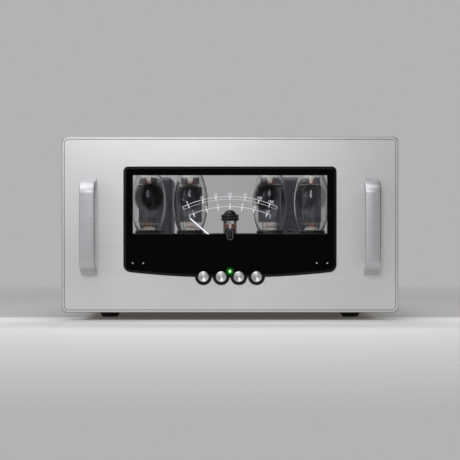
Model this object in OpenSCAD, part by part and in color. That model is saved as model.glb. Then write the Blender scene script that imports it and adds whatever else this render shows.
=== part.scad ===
// Valve power amplifier with a see-through meter window in its front panel.
// Depth runs from the front face of the panel to the rear, height runs up from the floor,
// and the finished part is shifted so that its middle lies over the origin.

/* [Front panel] */
// Width of the front panel
panel_w = 482.6; // [470:0.1:500]
// Height of the front panel
panel_h = 252; // [246:1:266]
// Thickness of the front panel
panel_t = 12; // [10:0.5:14]
// Corner radius of the front panel
panel_corner_r = 7; // [5:0.5:10]
// Bevel along the front edge of the panel
panel_bevel = 0.8; // [0.4:0.1:1.5]
// Height of the panel's lower edge above the floor
panel_clear = 11; // [9:0.5:13]
// Distance from the panel's edge to the decorative groove
groove_inset = 3.2; // [2.5:0.1:4.5]
// Width of the decorative groove
groove_w = 1; // [0.6:0.1:1.6]
// Depth of the decorative groove
groove_d = 0.8; // [0.4:0.1:1.5]

/* [Window] */
// Width of the window
window_w = 306; // [298:1:312]
// Height of the window at its middle
window_h = 159.8; // [156:0.1:163]
// Distance from the panel's lower edge up to the window
window_rise = 49.7; // [48:0.1:54]
// Rise of the curved lower edge towards the window's sides
window_sag = 8.9; // [6:0.1:11]
// Radius of the window's upper corners
window_top_r = 7; // [5:0.5:10]
// Radius of the window's lower corners
window_low_r = 11; // [8:0.5:14]
// Gap between the window pane and the panel all round
window_gap = 0.3; // [0.2:0.05:0.3]
// Thickness of the window pane
pane_t = 6; // [5:0.5:8]
// Width of the bevel round the pane
pane_bevel_w = 3.5; // [2:0.1:4]
// Depth of the bevel round the pane
pane_bevel_d = 1; // [0.5:0.1:2]
// Width of the black border at each side of the clear opening
aperture_side = 13; // [11:0.5:18]
// Height of the clear opening behind the pane
aperture_h = 84.9; // [80:0.1:90]
// Distance from the window's upper edge down to the clear opening
aperture_drop = 12.3; // [10:0.1:14]
// Lap of the window frame's flange behind the panel
flange_lap = 8; // [7:0.5:9]
// Thickness of the window frame's flange
flange_t = 3; // [2.5:0.5:4]
// Thickness of the dial pane
dial_t = 3; // [2:0.5:4]
// Depth of the ribs that carry the dial pane
rib_d = 9; // [8.5:0.5:11]

/* [Controls] */
// Diameter of a push-button
button_d = 15; // [13:0.5:16]
// Spacing of the push-buttons
button_pitch = 25.4; // [25:0.1:27]
// Height of the push-buttons above the window's lowest edge
button_rise = 1.7; // [0:0.1:3]
// Radius of the window lobe round a push-button
lobe_r = 12.35; // [11.5:0.05:12.5]
// How far a push-button stands out of the pane
button_proud = 3; // [2:0.5:5]
// Travel of a push-button
button_travel = 1.5; // [1:0.1:2]
// Diameter of the power lamp
lamp_d = 3; // [2:0.5:4]
// Height of the power lamp above the window's lowest edge
lamp_rise = 9.1; // [7:0.1:12]
// Diameter of a valve lamp
tube_lamp_d = 2; // [1.6:0.2:3]
// Height of the valve lamps above the window's lowest edge
tube_lamp_rise = 21; // [19:0.5:23]
// Distance from the window's side to the outer valve lamp
tube_lamp_inset = 13; // [11:0.5:15]
// Spacing of the valve lamps
tube_lamp_pitch = 15.2; // [13:0.1:17]

/* [Meter] */
// Distance from the clear opening down to the needle's pivot
pivot_drop = 27.3; // [25:0.1:29]
// Length of the needle from its pivot
needle_len = 76; // [70:0.5:80]
// Width of the needle
needle_w = 1.6; // [1.2:0.1:2.4]
// Full swing of the needle in degrees
needle_swing = 98; // [80:1:100]
// Diameter of the needle's staff
staff_d = 2; // [1.6:0.1:2.6]
// Width of the movement's lamp post
post_w = 12.2; // [10:0.1:14]
// Height of the lamp post above the clear opening's lower edge
post_rise = 7.6; // [5:0.1:10]
// Width of the notch in front of the lamp post
notch_w = 9.3; // [8:0.1:11]
// Depth of the notch below the clear opening
notch_drop = 10.5; // [8:0.5:12]

/* [Handles] */
// Width of the flat handle bar
handle_w = 21.5; // [18:0.5:24]
// Thickness of the handle bar
handle_t = 9; // [8.5:0.5:10]
// Height of a handle where it meets the panel
handle_h = 139; // [125:1:150]
// How far a handle stands out of the panel
handle_reach = 38; // [34:1:44]
// Outer bend radius of a handle
handle_bend_r = 18; // [15:0.5:20]
// Lean of a handle's legs in degrees
handle_lean = 12; // [6:0.5:13]
// Distance from the panel's side to a handle
handle_inset = 28.75; // [26:0.25:32]
// Distance of the handle's middle below the panel's middle
handle_drop = 2.6; // [0:0.1:5]

/* [Chassis] */
// Width of the chassis
chassis_w = 430; // [424:1:440]
// Depth of the chassis with its rear panel
chassis_d = 375; // [360:1:400]
// Height of the chassis floor above the ground
chassis_z = 14; // [12:0.5:18]
// Thickness of the chassis sheet
sheet_t = 1.5; // [1.2:0.1:2]
// Thickness of the deck
deck_t = 2; // [1.5:0.25:3]
// Height of the deck above the clear opening's lower edge
deck_rise = 0.7; // [0:0.1:1.5]
// Thickness of the rear panel
rear_t = 2; // [1.5:0.25:3]
// Diameter of a foot where it meets the chassis
foot_top_d = 36; // [32:0.5:40]
// Diameter of a foot on the floor
foot_low_d = 25; // [22:0.5:28]
// Distance from the middle to the feet
foot_x = 179.5; // [170:0.5:190]
// Depth of the front feet behind the panel's front face
foot_front = 92; // [80:1:105]
// Distance of the rear feet from the rear panel
foot_rear = 45; // [40:1:60]

/* [Valves] */
// Depth of the valve row behind the panel's front face
tube_y = 85; // [82:1:90]
// Spacing of the power valves in a pair
tube_pitch = 62.2; // [61:0.1:64]
// Distance between the two inner power valves
tube_gap = 118.6; // [110:0.1:122]
// Largest diameter of a power valve's bulb
bulb_d = 52.5; // [48:0.5:54]
// Radius of the barrel curve of a bulb
bulb_side_r = 104; // [95:1:120]
// Height of the bulb's widest place above the deck
bulb_mid = 46; // [43:0.5:49]
// Height of the barrel curve above the bulb's widest place
bulb_upper = 43; // [40:0.5:46]
// Thickness of the glass
glass_t = 1.2; // [0.9:0.1:1.5]
// Diameter of a power valve's base
base_d = 40; // [38:0.5:42]
// Height of a power valve's base
base_h = 24; // [22:0.5:27]
// How far a base stands above the deck
base_rise = 5; // [4:0.5:7]
// Width of the anode
anode_w = 29; // [26:0.5:30]
// Height of the anode
anode_h = 52.5; // [48:0.5:54]
// Diameter of the driver valve
driver_d = 20; // [18:0.5:22]
// Height of the driver valve
driver_h = 58.5; // [54:0.5:62]
// Outer diameter of a damper ring
damper_d = 27; // [25:0.5:29]
// Height of a damper ring
damper_h = 4.8; // [4:0.1:5.5]

/* [Transformers] */
// Depth of the transformers' middle behind the panel's front face
trans_y = 255; // [245:1:265]
// Length of a transformer can
can_len = 120; // [110:1:130]
// Height of a transformer can
can_h = 88; // [80:1:95]
// Radius of a can's edges
can_r = 6; // [4:0.5:9]
// Wall of a can
can_t = 1.5; // [1.2:0.1:2]
// Width of the power transformer's can
power_can_w = 69; // [65:1:73]
// Place of the power transformer to the right of the middle
power_can_x = 110.5; // [106:0.5:116]
// Width of the output transformer's can
output_can_w = 55; // [52:1:60]
// Place of the output transformer to the left of the middle
output_can_x = 118.5; // [112:0.5:124]

/* [Connectors] */
// Reach of a speaker post behind the rear panel
post_reach = 35; // [33:0.5:38]
// Spacing of the speaker posts
post_pitch = 30; // [28:0.5:32]
// Diameter of a speaker post's cap
cap_d = 18; // [16:0.5:20]
// Travel of a speaker post's cap when it is unscrewed
cap_travel = 6; // [4:0.5:7]
// Diameter of a speaker post's stud
stud_d = 8; // [7:0.5:9]
// Diameter of the plug socket in a stud
socket_bore_d = 4; // [3.5:0.1:4.4]
// Height of the connectors above the chassis floor
jack_rise = 58; // [50:1:64]

/* [Hidden] */
$fn = 64;
smooth_fn = 180;
run_gap = 0.05;
slide_gap = 0.25;
seat_gap = 0.1;
drop_gap = 0.5;
fine = 0.01;
over = 1;

panel_top = panel_clear + panel_h;
panel_mid = panel_clear + panel_h / 2;
window_low = panel_clear + window_rise;
window_top = window_low + window_h;
window_half = window_w / 2;
aperture_w = window_w - 2 * aperture_side;
aperture_top = window_top - aperture_drop;
aperture_low = aperture_top - aperture_h;
aperture_mid = (aperture_top + aperture_low) / 2;

edge_r = (window_half * window_half + window_sag * window_sag) / (2 * window_sag);
edge_z = window_low + edge_r;
low_x = window_half - window_low_r;
low_z = edge_z - sqrt(pow(edge_r - window_low_r, 2) - pow(low_x, 2));
low_a = atan2(edge_z - low_z, low_x);
corner_steps = 10;
edge_steps = 32;

button_z = window_low + button_rise;
button_x = [-1.5 * button_pitch, -0.5 * button_pitch, 0.5 * button_pitch, 1.5 * button_pitch];
button_bore = button_d / 2 + slide_gap;
lamp_z = window_low + lamp_rise;
tube_lamp_z = window_low + tube_lamp_rise;
tube_lamp_out = window_half - tube_lamp_inset;
tube_lamp_in = tube_lamp_out - tube_lamp_pitch;
tube_lamp_x = [-tube_lamp_out, -tube_lamp_in, tube_lamp_in, tube_lamp_out];

flange_low = button_z - lobe_r - flange_lap;
flange_top = window_top + flange_lap;
flange_half = window_half + flange_lap;
flange_y = panel_t + flange_t;
flange_r = 6;
dial_y = flange_y + rib_d;
dial_back = dial_y + dial_t;
rib_w = 9;
rib_x = aperture_w / 2 + 7;
rib_over = 6;
dial_low = aperture_low - rib_over - 4;
dial_high = aperture_top + rib_over;
dial_screw_z = [aperture_low, aperture_top];

m3_r = 1.5;
m4_r = 2;
m5_r = 2.5;
pass_gap = 0.2;
bite_gap = 0.05;
bite_len = 6;
head_ratio = 1.8;
head_tall = 1.1;
socket_ratio = 0.95;

frame_screws = [
    [-window_half - flange_lap / 2, aperture_low + 10],
    [-window_half - flange_lap / 2, aperture_top - 10],
    [window_half + flange_lap / 2, aperture_low + 10],
    [window_half + flange_lap / 2, aperture_top - 10],
    [-window_half / 2, window_top + flange_lap / 2],
    [window_half / 2, window_top + flange_lap / 2],
    [-window_half / 2, flange_low + flange_lap / 2],
    [window_half / 2, flange_low + flange_lap / 2]
];

board_y = flange_y + 13;
board_t = 1.6;
board_low = button_z - 16;
board_high = tube_lamp_z + 7;
board_dip = lamp_z + 6;
board_dip_half = 34;
board_half = window_half - 5;
boss_r = 3.6;
board_bosses = [
    [-tube_lamp_in + 16, tube_lamp_z],
    [tube_lamp_in - 16, tube_lamp_z],
    [-2.6 * button_pitch, button_z - 9],
    [2.6 * button_pitch, button_z - 9]
];
switch_w = 8;
switch_d = 3.7;
switch_y = board_y - switch_d;
stem_d = 3.5;
stem_dip = 0.5;
stem_end = switch_y + stem_dip;
button_flange_t = 1.8;
button_flange_r = button_bore + 1.2;
button_flange_y = flange_y + seat_gap;

pivot_z = aperture_low - pivot_drop;
needle_t = 0.8;
needle_y = flange_y + 4;
hub_r = 4;
hub_t = 3;
tail_len = 13;
tail_r = 3.2;
move_y = dial_back + 2;
move_d = 20;
move_w = 40;
move_h = 32;
move_boss_x = 24;
move_ear_r = 5;
move_ear_t = 3;
staff_dip = 12;
post_d = 6;
post_top = aperture_low + post_rise;

handle_x = panel_w / 2 - handle_inset - handle_w / 2;
handle_z = panel_mid - handle_drop;
handle_in_r = handle_bend_r - handle_t;
bend_a = handle_reach - handle_bend_r;
bend_b = handle_h / 2 - handle_bend_r * cos(handle_lean)
    - (bend_a + handle_bend_r * sin(handle_lean)) * tan(handle_lean);
leg_out = [bend_a + handle_bend_r * sin(handle_lean), bend_b + handle_bend_r * cos(handle_lean)];
leg_in = [bend_a + handle_in_r * sin(handle_lean), bend_b + handle_in_r * cos(handle_lean)];
leg_mid = handle_h / 2 - handle_t / cos(handle_lean) / 2;
handle_screw_in = 7;
bend_dip = 15;

deck_top = aperture_low + deck_rise;
deck_low = deck_top - deck_t;
chassis_half = chassis_w / 2;
rear_y = panel_t + chassis_d - rear_t;
rear_out = rear_y + rear_t;
ear_x = flange_half + 4;
ear_hole_r = m5_r * head_ratio + 1.5;
ear_screw_x = (ear_x + chassis_half) / 2 - 12;
ear_screw_low = chassis_z + 30;
ear_screw_high = deck_low - 14;
front_lip = 22;
rear_lip = 16;
deck_notch_y = board_y + 9;
deck_flange_h = 14;
deck_flange_x = chassis_half - sheet_t - seat_gap;
deck_flange_y = [deck_notch_y + 8, rear_y - rear_lip];
deck_screw_y = [deck_flange_y[0] + 12, (deck_flange_y[0] + deck_flange_y[1]) / 2, deck_flange_y[1] - 12];
deck_screw_z = deck_low - deck_flange_h / 2;
rear_screw_x = chassis_half - rear_lip / 2;
rear_screws = [
    [-rear_screw_x, chassis_z + 30],
    [rear_screw_x, chassis_z + 30],
    [-rear_screw_x, deck_low - 18],
    [rear_screw_x, deck_low - 18],
    [-rear_screw_x / 2, chassis_z + rear_lip / 2],
    [rear_screw_x / 2, chassis_z + rear_lip / 2]
];
feet_at = [
    [-foot_x, foot_front],
    [foot_x, foot_front],
    [-foot_x, rear_out - foot_rear],
    [foot_x, rear_out - foot_rear]
];
foot_well_r = 7;
foot_well_h = chassis_z - 6;
foot_edge = 1.2;
nut_h = 3.2;
nut_r = 4;

tube_x = [-tube_gap / 2 - tube_pitch, -tube_gap / 2, tube_gap / 2, tube_gap / 2 + tube_pitch];
tube_turn = [40, 0, -12, -40];
base_top = deck_top + base_rise;
base_low = base_top - base_h;
base_r = base_d / 2;
base_edge = 1.5;
deck_hole_r = base_r + 2;
bulb_z = deck_top + bulb_mid;
bulb_join = bulb_z + bulb_upper;
bulb_a = asin(bulb_upper / bulb_side_r);
bulb_side_x = bulb_d / 2 - bulb_side_r;
dome_r = bulb_side_r + bulb_side_x / cos(bulb_a);
dome_z = bulb_join - dome_r * sin(bulb_a);
pin_n = 8;
pin_ring_r = 8.7;
pin_r = 1.15;
pin_len = 10;
pin_gap = 0.15;
key_r = 4;
key_len = 12;
valve_socket_r = 17;
valve_socket_h = 15;
main_top = base_low - valve_socket_h;
main_t = 1.6;
main_low = main_top - main_t;
main_half = tube_x[3] + 32;
main_y = [tube_y - 30, tube_y + 75];
stand_r = 3.5;
main_stands = [
    [-main_half + 6, main_y[0] + 6],
    [main_half - 6, main_y[0] + 6],
    [-main_half + 6, main_y[1] - 6],
    [main_half - 6, main_y[1] - 6],
    [0, main_y[1] - 6]
];
anode_mid = bulb_z - 2.7;
anode_low = anode_mid - anode_h / 2;
anode_top = anode_mid + anode_h / 2;
anode_d = 17;
anode_cut = 5;
anode_wall = 0.8;
wing_w = 3;
mica_t = 0.8;
mica_r = 17;
mica_d = 22;
mica_low = anode_low - 3;
mica_top = anode_top + 3;
rod_r = 0.8;
rod_x = 10.5;
cathode_r = 2;
fin_w = 9;
fin_h = 10;
fin_t = 1.2;
fin_x = 9;
insulator_r = 3;
insulator_h = 12;
getter_r = 5;
getter_wire = 0.7;
getter_z = mica_top + 18;
stem_r = 11;
press_w = 18;
press_d = 5;
stem_h = 4;

driver_r = driver_d / 2;
small_socket_r = 12;
small_socket_h = 12;
small_pin_r = 0.55;
small_pin_ring_r = 5.95;
small_pin_len = 7;
driver_low = main_top + small_socket_h;
driver_top = driver_low + driver_h;
driver_floor = 2;
driver_hole_r = driver_r + 4;
pip_r = 2;
pip_h = 1;
damper_z = driver_top - 8;
damper_step = damper_h + run_gap;
damper_wall = 1.2;
driver_cage_w = 13;
driver_cage_d = 8;
driver_cage_h = 24;
driver_cage_z = driver_low + 12;

can_lip = 12;
core_gap = 1.2;
core_side = 10;

filter_n = 5;
filter_r = 15;
filter_h = 50;
filter_pitch = 54;
filter_y = main_y[1] - 24;

vent_r = 2.5;
vent_ring_r = deck_hole_r + 5.5;
vent_n = 12;
slot_w = 4;
slot_len = 34;
slot_pitch = 11;
slot_n = 12;
side_slot_n = 8;
side_slot_h = 40;

jack_z = chassis_z + jack_rise;
speaker_x = [for (i = [0:3]) -chassis_half + 42 + i * post_pitch];
collar_t = 7;
collar_r = 9.5;
washer_t = 1.4;
washer_r = 8;
washer_y = rear_out + collar_t + seat_gap;
cap_y = washer_y + washer_t + seat_gap;
cap_end = rear_out + post_reach;
stud_end = cap_end - 1;
stud_in = 9;
stud_hole_r = stud_d / 2 + 1;
bore_len = 18;
cap_flutes = 12;
flute_r = 1.2;

xlr_x = -38;
xlr_w = 26;
xlr_h = 31;
xlr_t = 3;
xlr_body_r = 11.8;
xlr_well_r = 9.6;
xlr_plug_r = 7.9;
xlr_depth = 14;
xlr_body_d = 22;
xlr_pin_r = 1.25;
xlr_pin_ring = 3.6;
xlr_pin_floor = 2;
xlr_plug_dip = 1;
xlr_screw = [9.5, 12];
rca_x = 2;
rca_r = 4.15;
rca_len = 10;
rca_nut_r = 8;
rca_nut_t = 2.5;
rca_bore_r = 1.65;
rca_inside = 12;
toggle_x = 36;
bush_r = 3.2;
bush_len = 8;
bush_bore_r = 2.1;
toggle_nut_r = 6;
toggle_nut_t = 2.5;
toggle_body = [7, 16, 13];
lever_ball_r = 1.8;
lever_r = 1;
lever_pin_r = 0.7;
lever_tip_r = 2.2;
lever_len = 17;
lever_tilt = 12;
lever_y = rear_out + bush_len - 4;
fuse_x = 82;
fuse_r = 6.5;
fuse_bezel_r = 9;
fuse_bezel_t = 3;
fuse_cap_r = 7.2;
fuse_cap_t = 7;
fuse_inside = 32;
fuse_slot = [9, 1.6, 1.6];
inlet_x = 142;
inlet_w = 27;
inlet_h = 20;
inlet_flange_w = 52;
inlet_flange_h = 27;
inlet_flange_t = 3;
inlet_wall = 2;
inlet_cut = 4;
inlet_depth = 19;
inlet_body_d = 26;
inlet_screw_x = 20;
blade_w = 2;
blade_h = 4;
blade_len = 13;
blade_x = 7;
blade_drop = 3;
earth_rise = 4;

middle_y = (rear_out + post_reach - handle_reach) / 2;

// Point in the middle of a handle's bend at an angle, on the upper or lower side
function bend_middle(angle, side) = [
    bend_a + (handle_bend_r - handle_t / 2) * cos(angle),
    side * (bend_b + (handle_bend_r - handle_t / 2) * sin(angle))
];

// Points of an arc from one angle to another
function arc(cx, cy, r, from, to, steps) =
    [for (i = [0:steps]) let (a = from + (to - from) * i / steps) [cx + r * cos(a), cy + r * sin(a)]];

// Points of the window's outline without its lobes, moved outward by a distance
function window_points(grow) = concat(
    arc(low_x, low_z, window_low_r + grow, -low_a, 0, corner_steps),
    arc(window_half - window_top_r, window_top - window_top_r, window_top_r + grow, 0, 90, corner_steps),
    arc(window_top_r - window_half, window_top - window_top_r, window_top_r + grow, 90, 180, corner_steps),
    arc(-low_x, low_z, window_low_r + grow, 180, 180 + low_a, corner_steps),
    arc(0, edge_z, edge_r + grow,
        180 + low_a + (180 - 2 * low_a) / edge_steps,
        360 - low_a - (180 - 2 * low_a) / edge_steps, edge_steps - 2)
);

// Stands a flat outline upright and gives it depth from one place to another
module upright(from, to) {
    translate([0, to, 0])
        rotate([90, 0, 0])
            linear_extrude(height = to - from)
                children();
}

// A rod that runs from front to rear
module rod(x, z, r, from, to) {
    translate([x, from, z])
        rotate([-90, 0, 0])
            cylinder(r = r, h = to - from);
}

// A box given by its two opposite corners
module block(low, high) {
    translate(low)
        cube(high - low);
}

// A rectangle with round corners about its middle
module round_rect(w, h, r) {
    square([w - 2 * r, h], center = true);
    square([w, h - 2 * r], center = true);
    for (sx = [-1, 1], sy = [-1, 1])
        translate([sx * (w / 2 - r), sy * (h / 2 - r)])
            circle(r = r);
}

// A cap screw whose head rests at height 0 and whose shank points down
module screw(r, len) {
    difference() {
        union() {
            cylinder(r = r * head_ratio, h = r * head_tall);
            translate([0, 0, -len])
                cylinder(r = r - bite_gap, h = len);
        }
        translate([0, 0, r * head_tall / 2])
            cylinder(r = r * socket_ratio, h = r * head_tall, $fn = 6);
    }
}

// A screw driven from the rear towards the front
module rear_screw(x, y, z, r, len) {
    translate([x, y, z])
        rotate([-90, 0, 0])
            screw(r, len);
}

// Flat outline of the window with its four lobes
module window_outline(grow) {
    polygon(window_points(grow));
    for (x = button_x)
        translate([x, button_z])
            circle(r = lobe_r + grow);
}

// Plate with a bevelled front edge
module bevelled_plate(w, h, t, r, c) {
    upright(c, t)
        round_rect(w, h, r);
    translate([r - w / 2, 0, 0])
        rotate([90, 0, 90])
            linear_extrude(height = w - 2 * r)
                polygon([[0, c - h / 2], [0, h / 2 - c], [c, h / 2], [c, -h / 2]]);
    translate([0, 0, r - h / 2])
        linear_extrude(height = h - 2 * r)
            polygon([[c - w / 2, 0], [w / 2 - c, 0], [w / 2, c], [-w / 2, c]]);
    for (sx = [-1, 1], sz = [-1, 1])
        translate([sx * (w / 2 - r), 0, sz * (h / 2 - r)])
            rotate([-90, 0, 0])
                cylinder(r1 = r - c, r2 = r, h = c);
}

// Thick aluminium front panel with its window cut-out and groove
module front_panel() {
    color("#c4c5c8")
        difference() {
            translate([0, 0, panel_mid])
                bevelled_plate(panel_w, panel_h, panel_t, panel_corner_r, panel_bevel);
            translate([0, 0, panel_mid])
                upright(-over, groove_d)
                    difference() {
                        round_rect(panel_w - 2 * groove_inset, panel_h - 2 * groove_inset,
                            panel_corner_r - groove_inset);
                        round_rect(panel_w - 2 * groove_inset - 2 * groove_w,
                            panel_h - 2 * groove_inset - 2 * groove_w,
                            panel_corner_r - groove_inset - groove_w);
                    }
            upright(-over, panel_t + over)
                window_outline(0);
            for (sx = [-1, 1], sz = [-1, 1])
                rod(sx * handle_x, handle_z + sz * leg_mid, m5_r + pass_gap, -over, panel_t + over);
            for (s = frame_screws)
                rod(s[0], s[1], m3_r, panel_t - bite_len, panel_t + over);
            for (sx = [-1, 1], z = [ear_screw_low, ear_screw_high])
                rod(sx * ear_screw_x, z, m4_r, panel_t - bite_len, panel_t + over);
        }
}

// Bevelled acrylic window pane with holes for the push-buttons
module front_glass() {
    color("#20222a")
        difference() {
            union() {
                hull() {
                    upright(0, fine)
                        polygon(window_points(-window_gap - pane_bevel_w));
                    upright(pane_bevel_d, pane_t)
                        polygon(window_points(-window_gap));
                }
                for (x = button_x) {
                    rod(x, button_z, lobe_r - window_gap, pane_bevel_d, pane_t);
                    translate([x, 0, button_z])
                        rotate([-90, 0, 0])
                            cylinder(r1 = lobe_r - window_gap - pane_bevel_w, r2 = lobe_r - window_gap,
                                h = pane_bevel_d);
                }
            }
            for (x = button_x)
                rod(x, button_z, button_bore, -over, pane_t + over);
        }
}

// Black frame behind the pane, flanged behind the panel, with ribs and bosses for the meter parts
module window_frame() {
    color("#141416")
        difference() {
            union() {
                upright(pane_t, panel_t)
                    window_outline(-window_gap);
                translate([0, 0, (flange_low + flange_top) / 2])
                    upright(panel_t, flange_y)
                        round_rect(2 * flange_half, flange_top - flange_low, flange_r);
                for (sx = [-1, 1])
                    block([sx * rib_x - rib_w / 2, flange_y, dial_low],
                        [sx * rib_x + rib_w / 2, dial_y, dial_high]);
                for (b = board_bosses)
                    rod(b[0], b[1], boss_r, flange_y, board_y);
                for (sx = [-1, 1])
                    rod(sx * move_boss_x, pivot_z, boss_r, flange_y, move_y);
            }
            block([-aperture_w / 2, -over, aperture_low], [aperture_w / 2, flange_y + over, aperture_top]);
            block([-notch_w / 2, -over, aperture_low - notch_drop + notch_w / 2],
                [notch_w / 2, flange_y + over, aperture_low + over]);
            rod(0, aperture_low - notch_drop + notch_w / 2, notch_w / 2, -over, flange_y + over);
            for (x = button_x)
                rod(x, button_z, button_bore, -over, flange_y + over);
            rod(0, lamp_z, lamp_d / 2 + slide_gap, -over, flange_y + over);
            for (x = tube_lamp_x)
                rod(x, tube_lamp_z, tube_lamp_d / 2 + slide_gap, -over, flange_y + over);
            for (s = frame_screws)
                rod(s[0], s[1], m3_r + pass_gap, panel_t - over, flange_y + over);
            for (sx = [-1, 1], z = dial_screw_z)
                rod(sx * rib_x, z, m3_r, dial_y - bite_len, dial_y + over);
            for (b = board_bosses)
                rod(b[0], b[1], m3_r, board_y - bite_len, board_y + over);
            for (sx = [-1, 1])
                rod(sx * move_boss_x, pivot_z, m3_r, move_y - bite_len, move_y + over);
        }
}

// Clear pane that carries the meter scale
module dial_glass() {
    color("#dfe6ea")
        difference() {
            block([-rib_x - rib_w / 2, dial_y, dial_low], [rib_x + rib_w / 2, dial_back, dial_high]);
            for (sx = [-1, 1], z = dial_screw_z)
                rod(sx * rib_x, z, m3_r + pass_gap, dial_y - over, dial_back + over);
        }
}

// Meter movement with its bearing, ears and the lamp post that lights the scale
module meter_movement() {
    color("#1b1b1d")
        difference() {
            union() {
                block([-move_w / 2, move_y, pivot_z - move_h / 2],
                    [move_w / 2, move_y + move_d, pivot_z + move_h / 2]);
                for (sx = [-1, 1]) {
                    rod(sx * move_boss_x, pivot_z, move_ear_r, move_y, move_y + move_ear_t);
                    mirror([sx < 0 ? 1 : 0, 0, 0])
                        block([move_w / 2 - over, move_y, pivot_z - move_ear_r],
                            [move_boss_x, move_y + move_ear_t, pivot_z + move_ear_r]);
                }
                block([-post_w / 2, move_y, pivot_z], [post_w / 2, move_y + post_d, post_top - post_w / 4]);
                rod(-post_w / 4, post_top - post_w / 4, post_w / 4, move_y, move_y + post_d);
                rod(post_w / 4, post_top - post_w / 4, post_w / 4, move_y, move_y + post_d);
                block([-post_w / 4, move_y, pivot_z], [post_w / 4, move_y + post_d, post_top]);
            }
            rod(0, pivot_z, staff_d / 2 + run_gap, move_y - over, move_y + staff_dip + 2);
            for (sx = [-1, 1])
                rod(sx * move_boss_x, pivot_z, m3_r + pass_gap, move_y - over, move_y + move_ear_t + over);
        }
}

// Meter needle with hub, staff and counterweight, resting at the left end of the scale
module meter_needle() {
    color("#f2f2f0") {
        translate([0, 0, pivot_z])
            rotate([0, -needle_swing / 2, 0]) {
                upright(needle_y - needle_t / 2, needle_y + needle_t / 2) {
                    polygon([[-needle_w / 2, needle_len], [needle_w / 2, needle_len],
                        [needle_w, -tail_len], [-needle_w, -tail_len]]);
                    translate([0, -tail_len])
                        circle(r = tail_r);
                }
                rod(0, 0, hub_r, needle_y - hub_t / 2, needle_y + hub_t / 2);
                rod(0, 0, staff_d / 2, needle_y, move_y + staff_dip);
            }
    }
}

// Control board with its four switches
module control_board() {
    color("#1f4a33")
        difference() {
            union() {
                difference() {
                    block([-board_half, board_y, board_low], [board_half, board_y + board_t, board_high]);
                    block([-board_dip_half, board_y - over, board_dip],
                        [board_dip_half, board_y + board_t + over, board_high + over]);
                }
                for (x = button_x)
                    block([x - switch_w / 2, switch_y, button_z - switch_w / 2],
                        [x + switch_w / 2, board_y, button_z + switch_w / 2]);
            }
            for (x = button_x)
                rod(x, button_z, stem_d / 2 + slide_gap,
                    switch_y - over, stem_end + button_travel + drop_gap);
            for (b = board_bosses)
                rod(b[0], b[1], m3_r + pass_gap, board_y - over, board_y + board_t + over);
        }
}

// Turned push-button with its retaining flange and stem
module push_button(x) {
    color("#c9cacc") {
        rod(x, button_z, button_d / 2, -button_proud, button_flange_y);
        rod(x, button_z, button_flange_r, button_flange_y, button_flange_y + button_flange_t);
        rod(x, button_z, stem_d / 2, button_flange_y + button_flange_t, stem_end);
    }
}

// Power lamp on its light pipe
module status_lamp() {
    color("#8fe58a")
        rod(0, lamp_z, lamp_d / 2, pane_t, board_y);
}

// Four valve lamps on their light pipes
module tube_lamps() {
    color("#f0f0f0")
        for (x = tube_lamp_x)
            rod(x, tube_lamp_z, tube_lamp_d / 2, pane_t, board_y);
}

// Screws of the frame, the dial pane, the movement and the control board
module window_screws() {
    color("#3a3a3c") {
        for (s = frame_screws)
            rear_screw(s[0], flange_y, s[1], m3_r, flange_t + bite_len - drop_gap);
        for (sx = [-1, 1], z = dial_screw_z)
            rear_screw(sx * rib_x, dial_back, z, m3_r, dial_t + bite_len - drop_gap);
        for (b = board_bosses)
            rear_screw(b[0], board_y + board_t, b[1], m3_r, board_t + bite_len - drop_gap);
        for (sx = [-1, 1])
            rear_screw(sx * move_boss_x, move_y + move_ear_t, pivot_z, m3_r,
                move_ear_t + bite_len - drop_gap);
    }
}

// Side outline of a handle: reach in front of the panel against height from the handle's middle
module handle_outline() {
    polygon([
        [handle_reach - handle_t, -bend_b], bend_middle(bend_dip, -1), [handle_reach, -bend_b],
        [handle_reach, bend_b], bend_middle(bend_dip, 1), [handle_reach - handle_t, bend_b]
    ]);
    for (s = [0, 1])
        mirror([0, s]) {
            intersection() {
                translate([bend_a, bend_b])
                    difference() {
                        circle(r = handle_bend_r);
                        circle(r = handle_in_r);
                    }
                polygon([[bend_a, bend_b], [bend_a + 2 * handle_bend_r, bend_b],
                    [bend_a + 2 * handle_bend_r, bend_b + 2 * handle_bend_r],
                    [bend_a + 2 * handle_bend_r * sin(handle_lean),
                        bend_b + 2 * handle_bend_r * cos(handle_lean)]]);
            }
            polygon([leg_in, bend_middle(90 - handle_lean - bend_dip, 1), leg_out,
                [0, leg_out[1] + leg_out[0] * tan(handle_lean)],
                [0, leg_in[1] + leg_in[0] * tan(handle_lean)]]);
        }
}

// Bent flat-bar handle with tapped feet
module handle(side) {
    color("#a9abb0")
        difference() {
            translate([side * handle_x - handle_w / 2, 0, handle_z])
                rotate([90, 0, 90])
                    linear_extrude(height = handle_w)
                        mirror([1, 0])
                            handle_outline();
            for (sz = [-1, 1])
                rod(side * handle_x, handle_z + sz * leg_mid, m5_r, -handle_screw_in, over);
        }
}

// Screws that hold the handles from behind the panel
module handle_screws() {
    color("#3a3a3c")
        for (sx = [-1, 1], sz = [-1, 1])
            rear_screw(sx * handle_x, panel_t, handle_z + sz * leg_mid, m5_r,
                panel_t + handle_screw_in - drop_gap);
}

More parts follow.
